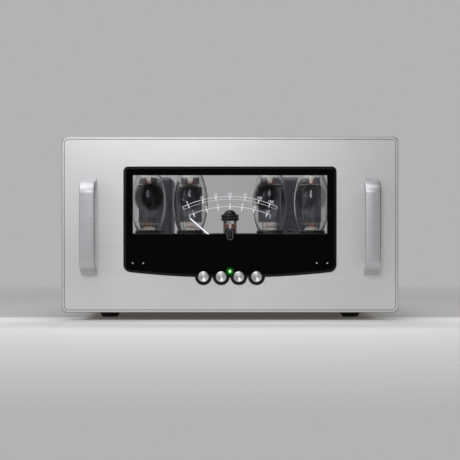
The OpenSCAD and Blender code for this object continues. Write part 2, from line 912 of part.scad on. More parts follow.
// Folded chassis tray with floor, sides, front ears and rear lip
module chassis_tray() {
    color("#2a2a2c")
        difference() {
            block([-chassis_half, panel_t, chassis_z], [chassis_half, rear_y, deck_low]);
            block([sheet_t - chassis_half, panel_t + sheet_t, chassis_z + sheet_t],
                [chassis_half - sheet_t, rear_y - sheet_t, deck_low + over]);
            block([-ear_x, panel_t - over, chassis_z + front_lip],
                [ear_x, panel_t + sheet_t + over, deck_low + over]);
            block([rear_lip - chassis_half, rear_y - sheet_t - over, chassis_z + rear_lip],
                [chassis_half - rear_lip, rear_y + over, deck_low + over]);
            for (sx = [-1, 1]) {
                rod(sx * handle_x, handle_z - leg_mid, ear_hole_r, panel_t - over, panel_t + sheet_t + over);
                for (z = [ear_screw_low, ear_screw_high])
                    rod(sx * ear_screw_x, z, m4_r + pass_gap, panel_t - over, panel_t + sheet_t + over);
            }
            for (y = deck_screw_y)
                translate([-chassis_half - over, y, deck_screw_z])
                    rotate([0, 90, 0])
                        cylinder(r = m3_r + pass_gap, h = chassis_w + 2 * over);
            for (s = rear_screws)
                rod(s[0], s[1], m3_r, rear_y - sheet_t - over, rear_y + over);
            for (f = feet_at)
                translate([f[0], f[1], chassis_z - over])
                    cylinder(r = m4_r + pass_gap, h = sheet_t + 2 * over);
            for (i = [0:slot_n - 1], y = [tube_y, trans_y])
                block([(i - (slot_n - 1) / 2) * 2 * slot_pitch - slot_w / 2, y - slot_len / 2,
                        chassis_z - over],
                    [(i - (slot_n - 1) / 2) * 2 * slot_pitch + slot_w / 2, y + slot_len / 2,
                        chassis_z + sheet_t + over]);
            for (i = [0:side_slot_n - 1])
                block([-chassis_half - over, tube_y + (i - 1) * slot_pitch - slot_w / 2, chassis_z + 28],
                    [chassis_half + over, tube_y + (i - 1) * slot_pitch + slot_w / 2,
                        chassis_z + 28 + side_slot_h]);
        }
}

// Deck with the valve holes, vents and pressed-in board standoffs
module deck() {
    color("#2e2e31")
        difference() {
            union() {
                block([-chassis_half, panel_t, deck_low], [chassis_half, rear_y, deck_top]);
                for (s = [0, 1])
                    mirror([s, 0, 0])
                        block([deck_flange_x - sheet_t, deck_flange_y[0], deck_low - deck_flange_h],
                            [deck_flange_x, deck_flange_y[1], deck_low]);
                for (p = main_stands)
                    translate([p[0], p[1], main_top])
                        cylinder(r = stand_r, h = deck_low - main_top);
            }
            block([-ear_x, panel_t - over, deck_low - over], [ear_x, deck_notch_y, deck_top + over]);
            for (x = tube_x) {
                translate([x, tube_y, deck_low - over])
                    cylinder(r = deck_hole_r, h = deck_t + 2 * over);
                for (i = [0:vent_n - 1])
                    translate([x + vent_ring_r * cos((i + 0.5) * 360 / vent_n),
                        tube_y + vent_ring_r * sin((i + 0.5) * 360 / vent_n), deck_low - over])
                        cylinder(r = vent_r, h = deck_t + 2 * over);
            }
            translate([0, tube_y, deck_low - over])
                cylinder(r = driver_hole_r, h = deck_t + 2 * over);
            for (p = main_stands)
                translate([p[0], p[1], main_top - over])
                    cylinder(r = m3_r, h = bite_len + over);
            for (y = deck_screw_y)
                translate([-chassis_half - over, y, deck_screw_z])
                    rotate([0, 90, 0])
                        cylinder(r = m3_r, h = chassis_w + 2 * over);
            for (c = [[power_can_x, power_can_w], [-output_can_x, output_can_w]], sx = [-1, 1], sy = [-1, 1])
                translate([c[0] + sx * c[1] / 4, trans_y + sy * (can_len + can_lip) / 2, deck_low - over])
                    cylinder(r = m4_r, h = deck_t + 2 * over);
        }
}

// Rear panel with its connector holes
module rear_panel() {
    color("#232325")
        difference() {
            block([-chassis_half, rear_y, chassis_z], [chassis_half, rear_out, deck_top]);
            for (x = speaker_x)
                rod(x, jack_z, stud_hole_r, rear_y - over, rear_out + over);
            rod(xlr_x, jack_z, xlr_body_r + slide_gap, rear_y - over, rear_out + over);
            for (s = [-1, 1])
                rod(xlr_x + s * xlr_screw[0], jack_z + s * xlr_screw[1], m3_r,
                    rear_y - over, rear_out + over);
            rod(rca_x, jack_z, rca_r + slide_gap, rear_y - over, rear_out + over);
            rod(toggle_x, jack_z, bush_r + slide_gap, rear_y - over, rear_out + over);
            rod(fuse_x, jack_z, fuse_r + slide_gap, rear_y - over, rear_out + over);
            block([inlet_x - inlet_w / 2 - slide_gap, rear_y - over, jack_z - inlet_h / 2 - slide_gap],
                [inlet_x + inlet_w / 2 + slide_gap, rear_out + over, jack_z + inlet_h / 2 + slide_gap]);
            for (s = [-1, 1])
                rod(inlet_x + s * inlet_screw_x, jack_z, m3_r, rear_y - over, rear_out + over);
            for (s = rear_screws)
                rod(s[0], s[1], m3_r + pass_gap, rear_y - over, rear_out + over);
        }
}

// Four tapered rubber feet
module feet() {
    color("#17171a")
        for (f = feet_at)
            translate([f[0], f[1], 0])
                rotate_extrude()
                    polygon([
                        [foot_well_r, 0], [foot_low_d / 2 - foot_edge, 0], [foot_low_d / 2, foot_edge],
                        [foot_top_d / 2, chassis_z - foot_edge], [foot_top_d / 2, chassis_z],
                        [m4_r + pass_gap, chassis_z], [m4_r + pass_gap, foot_well_h],
                        [foot_well_r, foot_well_h]
                    ]);
}

// Screws of the panel ears, the deck, the rear panel, the feet and the panel connectors
module chassis_screws() {
    color("#3a3a3c") {
        for (sx = [-1, 1], z = [ear_screw_low, ear_screw_high])
            rear_screw(sx * ear_screw_x, panel_t + sheet_t, z, m4_r, sheet_t + bite_len - drop_gap);
        for (y = deck_screw_y, s = [0, 1])
            mirror([s, 0, 0])
                translate([chassis_half, y, deck_screw_z])
                    rotate([0, 90, 0])
                        screw(m3_r, bite_len);
        for (s = rear_screws)
            rear_screw(s[0], rear_out, s[1], m3_r, rear_t + sheet_t + drop_gap);
        for (f = feet_at)
            translate([f[0], f[1], foot_well_h])
                rotate([180, 0, 0])
                    screw(m4_r, chassis_z - foot_well_h + sheet_t + nut_h);
        for (f = feet_at)
            translate([f[0], f[1], chassis_z + sheet_t])
                difference() {
                    cylinder(r = nut_r, h = nut_h, $fn = 6);
                    translate([0, 0, -over])
                        cylinder(r = m4_r, h = nut_h + 2 * over);
                }
        for (s = [-1, 1]) {
            rear_screw(xlr_x + s * xlr_screw[0], rear_out + xlr_t, jack_z + s * xlr_screw[1], m3_r,
                xlr_t + rear_t + drop_gap);
            rear_screw(inlet_x + s * inlet_screw_x, rear_out + inlet_flange_t, jack_z, m3_r,
                inlet_flange_t + rear_t + drop_gap);
        }
    }
}

// Flat outline of a bulb from its axis outward, shrunk by a wall
module bulb_outline(wall) {
    join = bulb_join - wall * sin(bulb_a);
    intersection() {
        translate([bulb_side_x, bulb_z])
            circle(r = bulb_side_r - wall, $fn = smooth_fn);
        translate([0, base_top])
            square([bulb_d, join - base_top]);
    }
    intersection() {
        translate([0, dome_z])
            circle(r = dome_r - wall, $fn = smooth_fn);
        translate([0, join])
            square([bulb_d, bulb_d]);
    }
}

// Barrel-shaped glass bulb of a power valve
module power_bulb(i) {
    color("#dfe7ea")
        translate([tube_x[i], tube_y, 0])
            rotate_extrude()
                difference() {
                    bulb_outline(0);
                    bulb_outline(glass_t);
                }
}

// Folded anode outline with its seams
module anode_outline() {
    polygon([
        [-anode_w / 2, -anode_d / 2 + anode_cut], [-anode_w / 2 + anode_cut, -anode_d / 2],
        [anode_w / 2 - anode_cut, -anode_d / 2], [anode_w / 2, -anode_d / 2 + anode_cut],
        [anode_w / 2, anode_d / 2 - anode_cut], [anode_w / 2 - anode_cut, anode_d / 2],
        [-anode_w / 2 + anode_cut, anode_d / 2], [-anode_w / 2, anode_d / 2 - anode_cut]
    ]);
    square([anode_w + 2 * wing_w, 2 * anode_wall], center = true);
}

// Electrode cage of a power valve on its glass stem
module power_electrodes(i) {
    color("#4a4b50")
        translate([tube_x[i], tube_y, 0])
            rotate([0, 0, tube_turn[i]]) {
                translate([0, 0, base_top])
                    cylinder(r1 = stem_r, r2 = press_w / 2, h = stem_h);
                block([-press_w / 2 + over, -press_d / 2, base_top + stem_h - over],
                    [press_w / 2 - over, press_d / 2, mica_low]);
                for (z = [mica_low, mica_top])
                    translate([0, 0, z])
                        linear_extrude(height = mica_t)
                            intersection() {
                                circle(r = mica_r);
                                square([2 * mica_r, mica_d], center = true);
                            }
                translate([0, 0, anode_low])
                    linear_extrude(height = anode_h)
                        difference() {
                            anode_outline();
                            square([anode_w - 2 * anode_cut, anode_d - 2 * anode_cut], center = true);
                        }
                for (sx = [-1, 1])
                    translate([sx * rod_x, 0, mica_low])
                        cylinder(r = rod_r, h = mica_top - mica_low + mica_t + over);
                translate([0, 0, mica_low])
                    cylinder(r = cathode_r, h = mica_top - mica_low + mica_t);
                for (sx = [-1, 1])
                    block([sx * fin_x - fin_w / 2, -fin_t / 2, mica_top + mica_t - fine],
                        [sx * fin_x + fin_w / 2, fin_t / 2, mica_top + mica_t + fin_h]);
                translate([0, 0, mica_top + mica_t - fine])
                    cylinder(r = insulator_r, h = insulator_h);
                translate([0, 0, mica_top])
                    cylinder(r = rod_r, h = getter_z - mica_top);
                translate([0, 0, getter_z])
                    rotate_extrude()
                        translate([getter_r, 0])
                            circle(r = getter_wire, $fn = 24);
                translate([-getter_r, 0, getter_z])
                    rotate([0, 90, 0])
                        cylinder(r = getter_wire, h = 2 * getter_r);
            }
}

// Phenolic base of a power valve with its pins and key
module power_base(i) {
    color("#151517")
        translate([tube_x[i], tube_y, 0]) {
            translate([0, 0, base_low])
                cylinder(r = base_r, h = base_h - base_edge);
            translate([0, 0, base_top - base_edge])
                cylinder(r1 = base_r, r2 = base_r - base_edge, h = base_edge);
            translate([0, 0, base_low - key_len])
                cylinder(r = key_r, h = key_len + over);
            for (k = [0:pin_n - 1])
                rotate([0, 0, (k + 0.5) * 360 / pin_n])
                    translate([pin_ring_r, 0, base_low - pin_len])
                        cylinder(r = pin_r, h = pin_len + over);
        }
}

// Sockets of the power valves and of the driver valve on the main board
module tube_sockets() {
    color("#e6e2d6") {
        for (x = tube_x)
            translate([x, tube_y, main_top])
                difference() {
                    cylinder(r = valve_socket_r, h = valve_socket_h);
                    translate([0, 0, valve_socket_h - key_len - drop_gap])
                        cylinder(r = key_r + pin_gap, h = key_len + over);
                    for (k = [0:pin_n - 1])
                        rotate([0, 0, (k + 0.5) * 360 / pin_n])
                            translate([pin_ring_r, 0, valve_socket_h - pin_len - drop_gap])
                                cylinder(r = pin_r + pin_gap, h = pin_len + over);
                }
        translate([0, tube_y, main_top])
            difference() {
                cylinder(r = small_socket_r, h = small_socket_h);
                for (k = [1:9])
                    rotate([0, 0, k * 36])
                        translate([small_pin_ring_r, 0, small_socket_h - small_pin_len - drop_gap])
                            cylinder(r = small_pin_r + pin_gap, h = small_pin_len + over);
            }
    }
}

// Flat outline of the driver valve's glass, shrunk by a wall
module driver_outline(wall, floor) {
    translate([0, driver_low + floor])
        square([driver_r - wall, driver_h - driver_r - pip_h - floor]);
    intersection() {
        translate([0, driver_top - pip_h - driver_r])
            circle(r = driver_r - wall);
        translate([0, driver_top - pip_h - driver_r])
            square([driver_r, driver_r]);
    }
}

// Glass bulb of the driver valve with its sealing tip
module driver_bulb() {
    color("#cfd6da")
        translate([0, tube_y, 0])
            rotate_extrude() {
                difference() {
                    driver_outline(0, 0);
                    driver_outline(glass_t, driver_floor);
                }
                polygon([[0, driver_top - pip_h - glass_t / 2], [pip_r, driver_top - pip_h - glass_t / 2],
                    [pip_r / 3, driver_top], [0, driver_top]]);
            }
}

// Electrode cage of the driver valve with its pins
module driver_electrodes() {
    color("#55565a")
        translate([0, tube_y, 0]) {
            for (z = [driver_cage_z, driver_cage_z + driver_cage_h])
                translate([0, 0, z])
                    cylinder(r = driver_r - glass_t - slide_gap, h = mica_t);
            for (sx = [-1, 1])
                block([sx * driver_cage_w / 4 - driver_cage_w / 5, -driver_cage_d / 2, driver_cage_z],
                    [sx * driver_cage_w / 4 + driver_cage_w / 5, driver_cage_d / 2,
                        driver_cage_z + driver_cage_h]);
            for (k = [0:3])
                rotate([0, 0, 45 + k * 90])
                    translate([small_pin_ring_r, 0, driver_low + driver_floor])
                        cylinder(r = small_pin_r, h = driver_cage_z - driver_low - driver_floor + over);
            translate([0, 0, driver_cage_z + driver_cage_h])
                cylinder(r = small_pin_r, h = 5);
            translate([0, 0, driver_cage_z + driver_cage_h + 5])
                cylinder(r = getter_r, h = getter_wire);
            for (k = [1:9])
                rotate([0, 0, k * 36])
                    translate([small_pin_ring_r, 0, driver_low - small_pin_len])
                        cylinder(r = small_pin_r, h = small_pin_len);
        }
}

// Two damper rings gripping the driver valve
module driver_dampers() {
    color("#121214")
        for (k = [0, 1])
            translate([0, tube_y, damper_z - damper_h / 2 - k * damper_step])
                rotate_extrude()
                    polygon([
                        [driver_r + run_gap, -damper_h / 2], [damper_d / 2 - damper_wall, -damper_h / 2],
                        [damper_d / 2, -damper_h / 6], [damper_d / 2, damper_h / 6],
                        [damper_d / 2 - damper_wall, damper_h / 2], [driver_r + run_gap, damper_h / 2]
                    ]);
}

// Main circuit board under the deck
module main_board() {
    color("#1f4a33")
        difference() {
            block([-main_half, main_y[0], main_low], [main_half, main_y[1], main_top]);
            for (p = main_stands)
                translate([p[0], p[1], main_low - over])
                    cylinder(r = m3_r + pass_gap, h = main_t + 2 * over);
        }
}

// Filter capacitors under the main board
module filter_capacitors() {
    color("#2b3550")
        for (i = [0:filter_n - 1])
            translate([(i - (filter_n - 1) / 2) * filter_pitch, filter_y, main_low - filter_h])
                cylinder(r = filter_r, h = filter_h);
}

// Rounded block of a transformer can with its underside on the deck
module can_block(w, len, h, r) {
    intersection() {
        translate([0, len / 2, 0])
            rotate([90, 0, 0])
                linear_extrude(height = len)
                    translate([0, h / 2 - r])
                        round_rect(w, h + 2 * r, r);
        translate([-w / 2, 0, 0])
            rotate([90, 0, 90])
                linear_extrude(height = w)
                    translate([0, h / 2 - r])
                        round_rect(len, h + 2 * r, r);
        linear_extrude(height = h)
            round_rect(w, len, r);
    }
}

// Drawn transformer cover with a lip at its front and rear
module transformer_cover(x, w) {
    color("#1a1a1c")
        translate([x, trans_y, deck_top])
            difference() {
                union() {
                    can_block(w, can_len, can_h, can_r);
                    block([-w / 2 + can_r, -can_len / 2 - can_lip, 0],
                        [w / 2 - can_r, can_len / 2 + can_lip, can_t]);
                }
                translate([0, 0, -over])
                    can_block(w - 2 * can_t, can_len - 2 * can_t, can_h - can_t + over, can_r - can_t);
                for (sx = [-1, 1], sy = [-1, 1])
                    translate([sx * w / 4, sy * (can_len + can_lip) / 2, -over])
                        cylinder(r = m4_r + pass_gap, h = can_t + 2 * over);
            }
}

// Laminated core with the winding round its middle leg
module transformer_core(x, w) {
    stack = w - 2 * can_t - 2 * core_gap - 2 * core_side;
    len = can_len - 2 * can_t - 2 * core_gap - 2 * can_r;
    unit = len / 6;
    tall = min(5 * unit, can_h - can_t - core_gap);
    color("#5a4a3c")
        translate([x, trans_y, deck_top]) {
            difference() {
                block([-stack / 2, -len / 2, 0], [stack / 2, len / 2, tall]);
                for (sy = [-1, 1])
                    block([-stack / 2 - over, sy * 1.5 * unit - unit / 2, unit],
                        [stack / 2 + over, sy * 1.5 * unit + unit / 2, tall - unit]);
            }
            difference() {
                block([-stack / 2 - core_side, -2 * unit + drop_gap, unit + drop_gap],
                    [stack / 2 + core_side, 2 * unit - drop_gap, tall - unit - drop_gap]);
                block([-stack / 2 - seat_gap, -unit - seat_gap, unit],
                    [stack / 2 + seat_gap, unit + seat_gap, tall]);
            }
        }
}

// Screws of the two transformer covers
module transformer_screws() {
    color("#3a3a3c")
        for (c = [[power_can_x, power_can_w], [-output_can_x, output_can_w]], sx = [-1, 1], sy = [-1, 1])
            translate([c[0] + sx * c[1] / 4, trans_y + sy * (can_len + can_lip) / 2, deck_top + can_t])
                screw(m4_r, can_t + deck_t + bite_len);
}

// Mains inlet with its well and three blades
module mains_inlet() {
    color("#161618")
        translate([inlet_x, rear_out, jack_z]) {
            difference() {
                union() {
                    upright(0, inlet_flange_t)
                        round_rect(inlet_flange_w, inlet_flange_h, 4);
                    block([-inlet_w / 2, inlet_flange_t - inlet_body_d, -inlet_h / 2],
                        [inlet_w / 2, fine, inlet_h / 2]);
                }
                upright(inlet_flange_t - inlet_depth, inlet_flange_t + over)
                    polygon([
                        [inlet_wall - inlet_w / 2, inlet_wall - inlet_h / 2],
                        [inlet_w / 2 - inlet_wall, inlet_wall - inlet_h / 2],
                        [inlet_w / 2 - inlet_wall, inlet_h / 2 - inlet_wall - inlet_cut],
                        [inlet_w / 2 - inlet_wall - inlet_cut, inlet_h / 2 - inlet_wall],
                        [inlet_wall + inlet_cut - inlet_w / 2, inlet_h / 2 - inlet_wall],
                        [inlet_wall - inlet_w / 2, inlet_h / 2 - inlet_wall - inlet_cut]
                    ]);
                for (s = [-1, 1])
                    rod(s * inlet_screw_x, 0, m3_r + pass_gap, -over, inlet_flange_t + over);
            }
            for (b = [[-blade_x, -blade_drop], [blade_x, -blade_drop], [0, earth_rise]])
                block([b[0] - blade_w / 2, inlet_flange_t - inlet_depth - fine, b[1] - blade_h / 2],
                    [b[0] + blade_w / 2, inlet_flange_t - inlet_depth + blade_len, b[1] + blade_h / 2]);
        }
}

// Fuse holder with its slotted cap
module fuse_holder() {
    color("#161618")
        translate([fuse_x, rear_out, jack_z])
            difference() {
                union() {
                    rod(0, 0, fuse_bezel_r, 0, fuse_bezel_t);
                    rod(0, 0, fuse_r, -fuse_inside, fuse_bezel_t);
                    rod(0, 0, fuse_cap_r, fuse_bezel_t - fine, fuse_bezel_t + fuse_cap_t);
                }
                block([-fuse_slot[0] / 2, fuse_bezel_t + fuse_cap_t - fuse_slot[1], -fuse_slot[2] / 2],
                    [fuse_slot[0] / 2, fuse_bezel_t + fuse_cap_t + over, fuse_slot[2] / 2]);
            }
}

// Three-pin balanced input socket
module xlr_input() {
    color("#2b2b2e")
        translate([xlr_x, rear_out, jack_z]) {
            difference() {
                union() {
                    upright(0, xlr_t)
                        round_rect(xlr_w, xlr_h, 2);
                    rod(0, 0, xlr_body_r, xlr_t - xlr_body_d, fine);
                }
                rod(0, 0, xlr_well_r, xlr_t - xlr_depth, xlr_t + over);
                for (s = [-1, 1])
                    rod(s * xlr_screw[0], s * xlr_screw[1], m3_r + pass_gap, -over, xlr_t + over);
            }
            difference() {
                rod(0, 0, xlr_plug_r, xlr_t - xlr_depth + run_gap, xlr_t - xlr_plug_dip);
                for (a = [90, 210, 330])
                    rod(xlr_pin_ring * cos(a), xlr_pin_ring * sin(a), xlr_pin_r,
                        xlr_t - xlr_depth + xlr_pin_floor, xlr_t + over);
            }
        }
}

// Single-ended input socket
module rca_input() {
    color("#c9a850")
        translate([rca_x, rear_out, jack_z])
            difference() {
                union() {
                    rotate([-90, 0, 0])
                        cylinder(r = rca_nut_r, h = rca_nut_t, $fn = 6);
                    rod(0, 0, rca_r, -rca_inside, rca_nut_t + rca_len);
                }
                rod(0, 0, rca_bore_r, rca_nut_t, rca_nut_t + rca_len + over);
            }
}

// Toggle switch body with its threaded bush and nut
module toggle_switch() {
    color("#b9babd")
        translate([toggle_x, rear_out, jack_z])
            difference() {
                union() {
                    rod(0, 0, bush_r, -rear_t, bush_len);
                    rotate([-90, 0, 0])
                        cylinder(r = toggle_nut_r, h = toggle_nut_t, $fn = 6);
                    block([-toggle_body[0] / 2, -rear_t - toggle_body[1], -toggle_body[2] / 2],
                        [toggle_body[0] / 2, -rear_t, toggle_body[2] / 2]);
                }
                rod(0, 0, bush_bore_r, 0, bush_len + over);
            }
}

// Bat lever of the toggle switch, resting in its lower place
module toggle_lever() {
    color("#d5d6d8")
        translate([toggle_x, lever_y, jack_z])
            rotate([-lever_tilt, 0, 0]) {
                sphere(r = lever_ball_r);
                rotate([0, 90, 0])
                    cylinder(r = lever_pin_r, h = 2 * bush_bore_r - 2 * run_gap, center = true);
                rotate([-90, 0, 0]) {
                    cylinder(r = lever_r, h = lever_len / 3);
                    translate([0, 0, lever_len / 3])
                        cylinder(r1 = lever_r, r2 = lever_tip_r, h = lever_len * 2 / 3 - lever_tip_r);
                    translate([0, 0, lever_len - lever_tip_r])
                        sphere(r = lever_tip_r);
                }
            }
}

// Four speaker posts: insulating collar, hollow stud and inner nut
module binding_posts() {
    color("#c9a850")
        for (x = speaker_x)
            translate([x, rear_out, jack_z])
                difference() {
                    union() {
                        rod(0, 0, collar_r, 0, collar_t);
                        rod(0, 0, stud_d / 2, -rear_t - stud_in, stud_end - rear_out);
                        translate([0, -rear_t - stud_in / 2, 0])
                            rotate([-90, 0, 0])
                                cylinder(r = collar_r - over, h = stud_in / 2, $fn = 6);
                    }
                    rod(0, 0, socket_bore_d / 2, stud_end - rear_out - bore_len, stud_end - rear_out + over);
                }
}

// Clamping washer of a speaker post
module post_washer(i) {
    color("#c9a850")
        difference() {
            rod(speaker_x[i], jack_z, washer_r, washer_y, washer_y + washer_t);
            rod(speaker_x[i], jack_z, stud_d / 2 + run_gap, washer_y - over, washer_y + washer_t + over);
        }
}

// Fluted cap nut of a speaker post
module post_cap(i) {
    color("#1c1c1f")
        difference() {
            rod(speaker_x[i], jack_z, cap_d / 2, cap_y, cap_end);
            rod(speaker_x[i], jack_z, stud_d / 2 + run_gap, cap_y - over, cap_end + over);
            for (k = [0:cap_flutes - 1])
                rod(speaker_x[i] + cap_d / 2 * cos(k * 360 / cap_flutes),
                    jack_z + cap_d / 2 * sin(k * 360 / cap_flutes), flute_r, cap_y + 5, cap_end + over);
        }
}

// Shifts a piece so that the middle of the part lies over the origin
module placed() {
    translate([0, -middle_y, 0])
        children();
}

placed() front_panel();
placed() front_glass();
placed() window_frame();
placed() dial_glass();
placed() meter_movement();
placed() meter_needle();
placed() control_board();
placed() push_button(button_x[0]);  // power_button
placed() push_button(button_x[1]);  // meter_button
placed() push_button(button_x[2]);  // bias_button
placed() push_button(button_x[3]);  // mode_button
placed() status_lamp();
placed() tube_lamps();
placed() window_screws();
placed() handle(-1);  // handle_left
placed() handle(1);  // handle_right
placed() handle_screws();
placed() chassis_tray();
placed() deck();
placed() rear_panel();
placed() feet();
placed() chassis_screws();
placed() power_bulb(0);  // power_tube_1_bulb
placed() power_bulb(1);  // power_tube_2_bulb
placed() power_bulb(2);  // power_tube_3_bulb
placed() power_bulb(3);  // power_tube_4_bulb
placed() power_electrodes(0);  // power_tube_1_electrodes
placed() power_electrodes(1);  // power_tube_2_electrodes
placed() power_electrodes(2);  // power_tube_3_electrodes
placed() power_electrodes(3);  // power_tube_4_electrodes
placed() power_base(0);  // power_tube_1_base
placed() power_base(1);  // power_tube_2_base
placed() power_base(2);  // power_tube_3_base
placed() power_base(3);  // power_tube_4_base
placed() tube_sockets();
placed() driver_bulb();
placed() driver_electrodes();
placed() driver_dampers();
placed() main_board();
placed() filter_capacitors();
placed() transformer_core(power_can_x, power_can_w);  // power_transformer_core
placed() transformer_cover(power_can_x, power_can_w);  // power_transformer_cover
placed() transformer_core(-output_can_x, output_can_w);  // output_transformer_core
placed() transformer_cover(-output_can_x, output_can_w);  // output_transformer_cover
placed() transformer_screws();
placed() mains_inlet();
placed() fuse_holder();
placed() xlr_input();
placed() rca_input();
placed() toggle_switch();
placed() toggle_lever();
placed() binding_posts();
placed() post_washer(0);  // post_washer_1
placed() post_washer(1);  // post_washer_2
placed() post_washer(2);  // post_washer_3
placed() post_washer(3);  // post_washer_4
placed() post_cap(0);  // post_cap_1
placed() post_cap(1);  // post_cap_2
placed() post_cap(2);  // post_cap_3
placed() post_cap(3);  // post_cap_4
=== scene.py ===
"""Looks of a valve power amplifier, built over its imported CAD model."""

from math import asin, cos, degrees, pi, radians, sin, tan

import bmesh
import bpy
from bpy.props import FloatProperty, FloatVectorProperty, PointerProperty
from mathutils import Matrix, Vector


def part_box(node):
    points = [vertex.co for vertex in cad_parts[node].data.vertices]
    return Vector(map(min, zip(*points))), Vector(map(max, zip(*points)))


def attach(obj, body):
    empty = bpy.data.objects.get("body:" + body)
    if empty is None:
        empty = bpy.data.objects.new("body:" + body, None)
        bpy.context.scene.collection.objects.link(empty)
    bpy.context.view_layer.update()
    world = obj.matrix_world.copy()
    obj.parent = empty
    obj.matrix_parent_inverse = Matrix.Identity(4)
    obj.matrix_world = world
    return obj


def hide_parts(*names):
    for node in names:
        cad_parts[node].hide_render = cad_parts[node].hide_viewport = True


bl_info = {
    "name": "Valve power amplifier",
    "version": (1, 0, 0),
    "blender": (4, 5, 0),
    "location": "3D View > Sidebar > Amplifier",
    "description": "Adds the finished pieces and materials of a valve power amplifier to its CAD model",
    "category": "Object",
}

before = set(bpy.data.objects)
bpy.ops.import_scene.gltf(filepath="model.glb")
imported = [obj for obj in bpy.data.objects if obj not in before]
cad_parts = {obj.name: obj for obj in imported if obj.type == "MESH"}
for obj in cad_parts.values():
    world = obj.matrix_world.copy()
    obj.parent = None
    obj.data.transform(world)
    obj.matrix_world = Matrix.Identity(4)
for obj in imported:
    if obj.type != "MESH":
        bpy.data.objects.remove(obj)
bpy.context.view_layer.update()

MM = 0.001
ROOT = "amplifier"

# Places taken from the CAD model's own boxes, in metres
PANEL_LOW, PANEL_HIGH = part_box("front_panel")
PANEL_FRONT = PANEL_LOW[1]
PANEL_MIDDLE = (PANEL_LOW[2] + PANEL_HIGH[2]) / 2
PANE_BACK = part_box("front_glass")[1][1]
DIAL_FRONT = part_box("dial_glass")[0][1]

# Left and right, or front and back, of something even
SIDES = (-1, 1)

# Most of a noise pattern lies between these values.
NOISE_RANGE = {"From Min": 0.3, "From Max": 0.7}


# Small helpers


def linear(code):
    """Linear colour of an sRGB hex code."""
    channels = [int(code[i:i + 2], 16) / 255 for i in (1, 3, 5)]
    return tuple(c / 12.92 if c <= 0.04045 else ((c + 0.055) / 1.055) ** 2.4 for c in channels)


def rgba(colour, factor=1.0):
    """Colour with full opacity, made lighter or darker by a factor."""
    return (*[min(1.0, channel * factor) for channel in colour], 1.0)


def corners(node):
    """Lower and upper corner of a CAD node's box."""
    low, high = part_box(node)
    return Vector(low), Vector(high)


def middle(node):
    """Middle of a CAD node's box."""
    low, high = corners(node)
    return (low + high) / 2


def sizes():
    """The scene's settings of size."""
    return bpy.context.scene.amplifier_sizes


def colours():
    """The scene's settings of colour."""
    return bpy.context.scene.amplifier_colours


# Materials


def add(tree, kind, out=None, sockets=None, **settings):
    """Add a node with its settings and links, and return its first or a named output."""
    made = tree.nodes.new(kind)
    for name, value in settings.items():
        setattr(made, name, value)
    named = {socket.identifier: socket for socket in made.inputs}
    for name, value in (sockets or {}).items():
        socket = made.inputs[name] if isinstance(name, int) else named[name]
        if isinstance(value, bpy.types.NodeSocket):
            tree.links.new(value, socket)
        else:
            socket.default_value = value
    given = {socket.identifier: socket for socket in made.outputs}
    return given[out] if isinstance(out, str) else next(iter(given.values()), None)


def start(name):
    """New node material with Object coordinates in metres: the material, its tree and the coordinates."""
    made = bpy.data.materials.new(name)
    made.use_nodes = True
    made.node_tree.nodes.clear()
    return made, made.node_tree, add(made.node_tree, "ShaderNodeTexCoord", "Object")


def finish(made, shader):
    """Link a material's shader to its output."""
    add(made.node_tree, "ShaderNodeOutputMaterial", sockets={"Surface": shader})
    return made


def mottled(tree, spot, grain, detail, dark, light):
    """Pattern of soft specks, a grain wide, and a colour that follows it from dark to light."""
    specks = add(tree, "ShaderNodeTexNoise", "Fac", {"Vector": spot, "Scale": 1 / grain, "Detail": detail})
    colour = add(tree, "ShaderNodeMix", "Result_Color", {
        "Factor_Float": specks, "A_Color": dark, "B_Color": light}, data_type="RGBA")
    return specks, colour


def brushed_aluminium(name, colour, roughness, stroke, contrast):
    """Clear-anodised aluminium, brushed along X: long fine streaks that spread highlights up and down.

    Gives the material, its tree, its coordinates and the settings of its shader.
    """
    made, tree, spot = start(name)
    # Brush strokes are about 0.05 mm wide; they are drawn coarser, a stroke wide, so that they show.
    drawn = (1 / (110 * MM), 1 / stroke, 1 / stroke)
    along = add(tree, "ShaderNodeMapping", None, {"Vector": spot, "Scale": drawn})
    strokes = add(tree, "ShaderNodeTexNoise", "Fac", {"Vector": along, "Scale": 1.0, "Detail": 3.0})
    cloud = add(tree, "ShaderNodeTexNoise", "Fac", {"Vector": spot, "Scale": 1 / (200 * MM), "Detail": 2.0})
    streak = add(tree, "ShaderNodeMapRange", "Result", {"Value": strokes, **NOISE_RANGE})
    base = add(tree, "ShaderNodeMix", "Result_Color", {
        "Factor_Float": streak,
        "A_Color": rgba(colour, 1 - contrast),
        "B_Color": rgba(colour, 1 + 0.7 * contrast),
    }, data_type="RGBA")
    rough = add(tree, "ShaderNodeMapRange", "Result", {
        "Value": cloud, **NOISE_RANGE, "To Min": roughness - 0.03, "To Max": roughness + 0.03})
    grooves = add(tree, "ShaderNodeBump", None, {
        "Height": strokes, "Strength": 2.6 * contrast, "Distance": 0.07 * MM})
    metal = {"Base Color": base, "Metallic": 1.0, "Roughness": rough, "Normal": grooves}
    return made, tree, spot, metal


def handle_aluminium():
    """Brushed aluminium of the handle bars."""
    made, tree, _, metal = brushed_aluminium(
        "handle_brushed_aluminium", colours().handle, roughness=0.39, stroke=1.5 * MM, contrast=0.07)
    return finish(made, add(tree, "ShaderNodeBsdfPrincipled", None, metal))


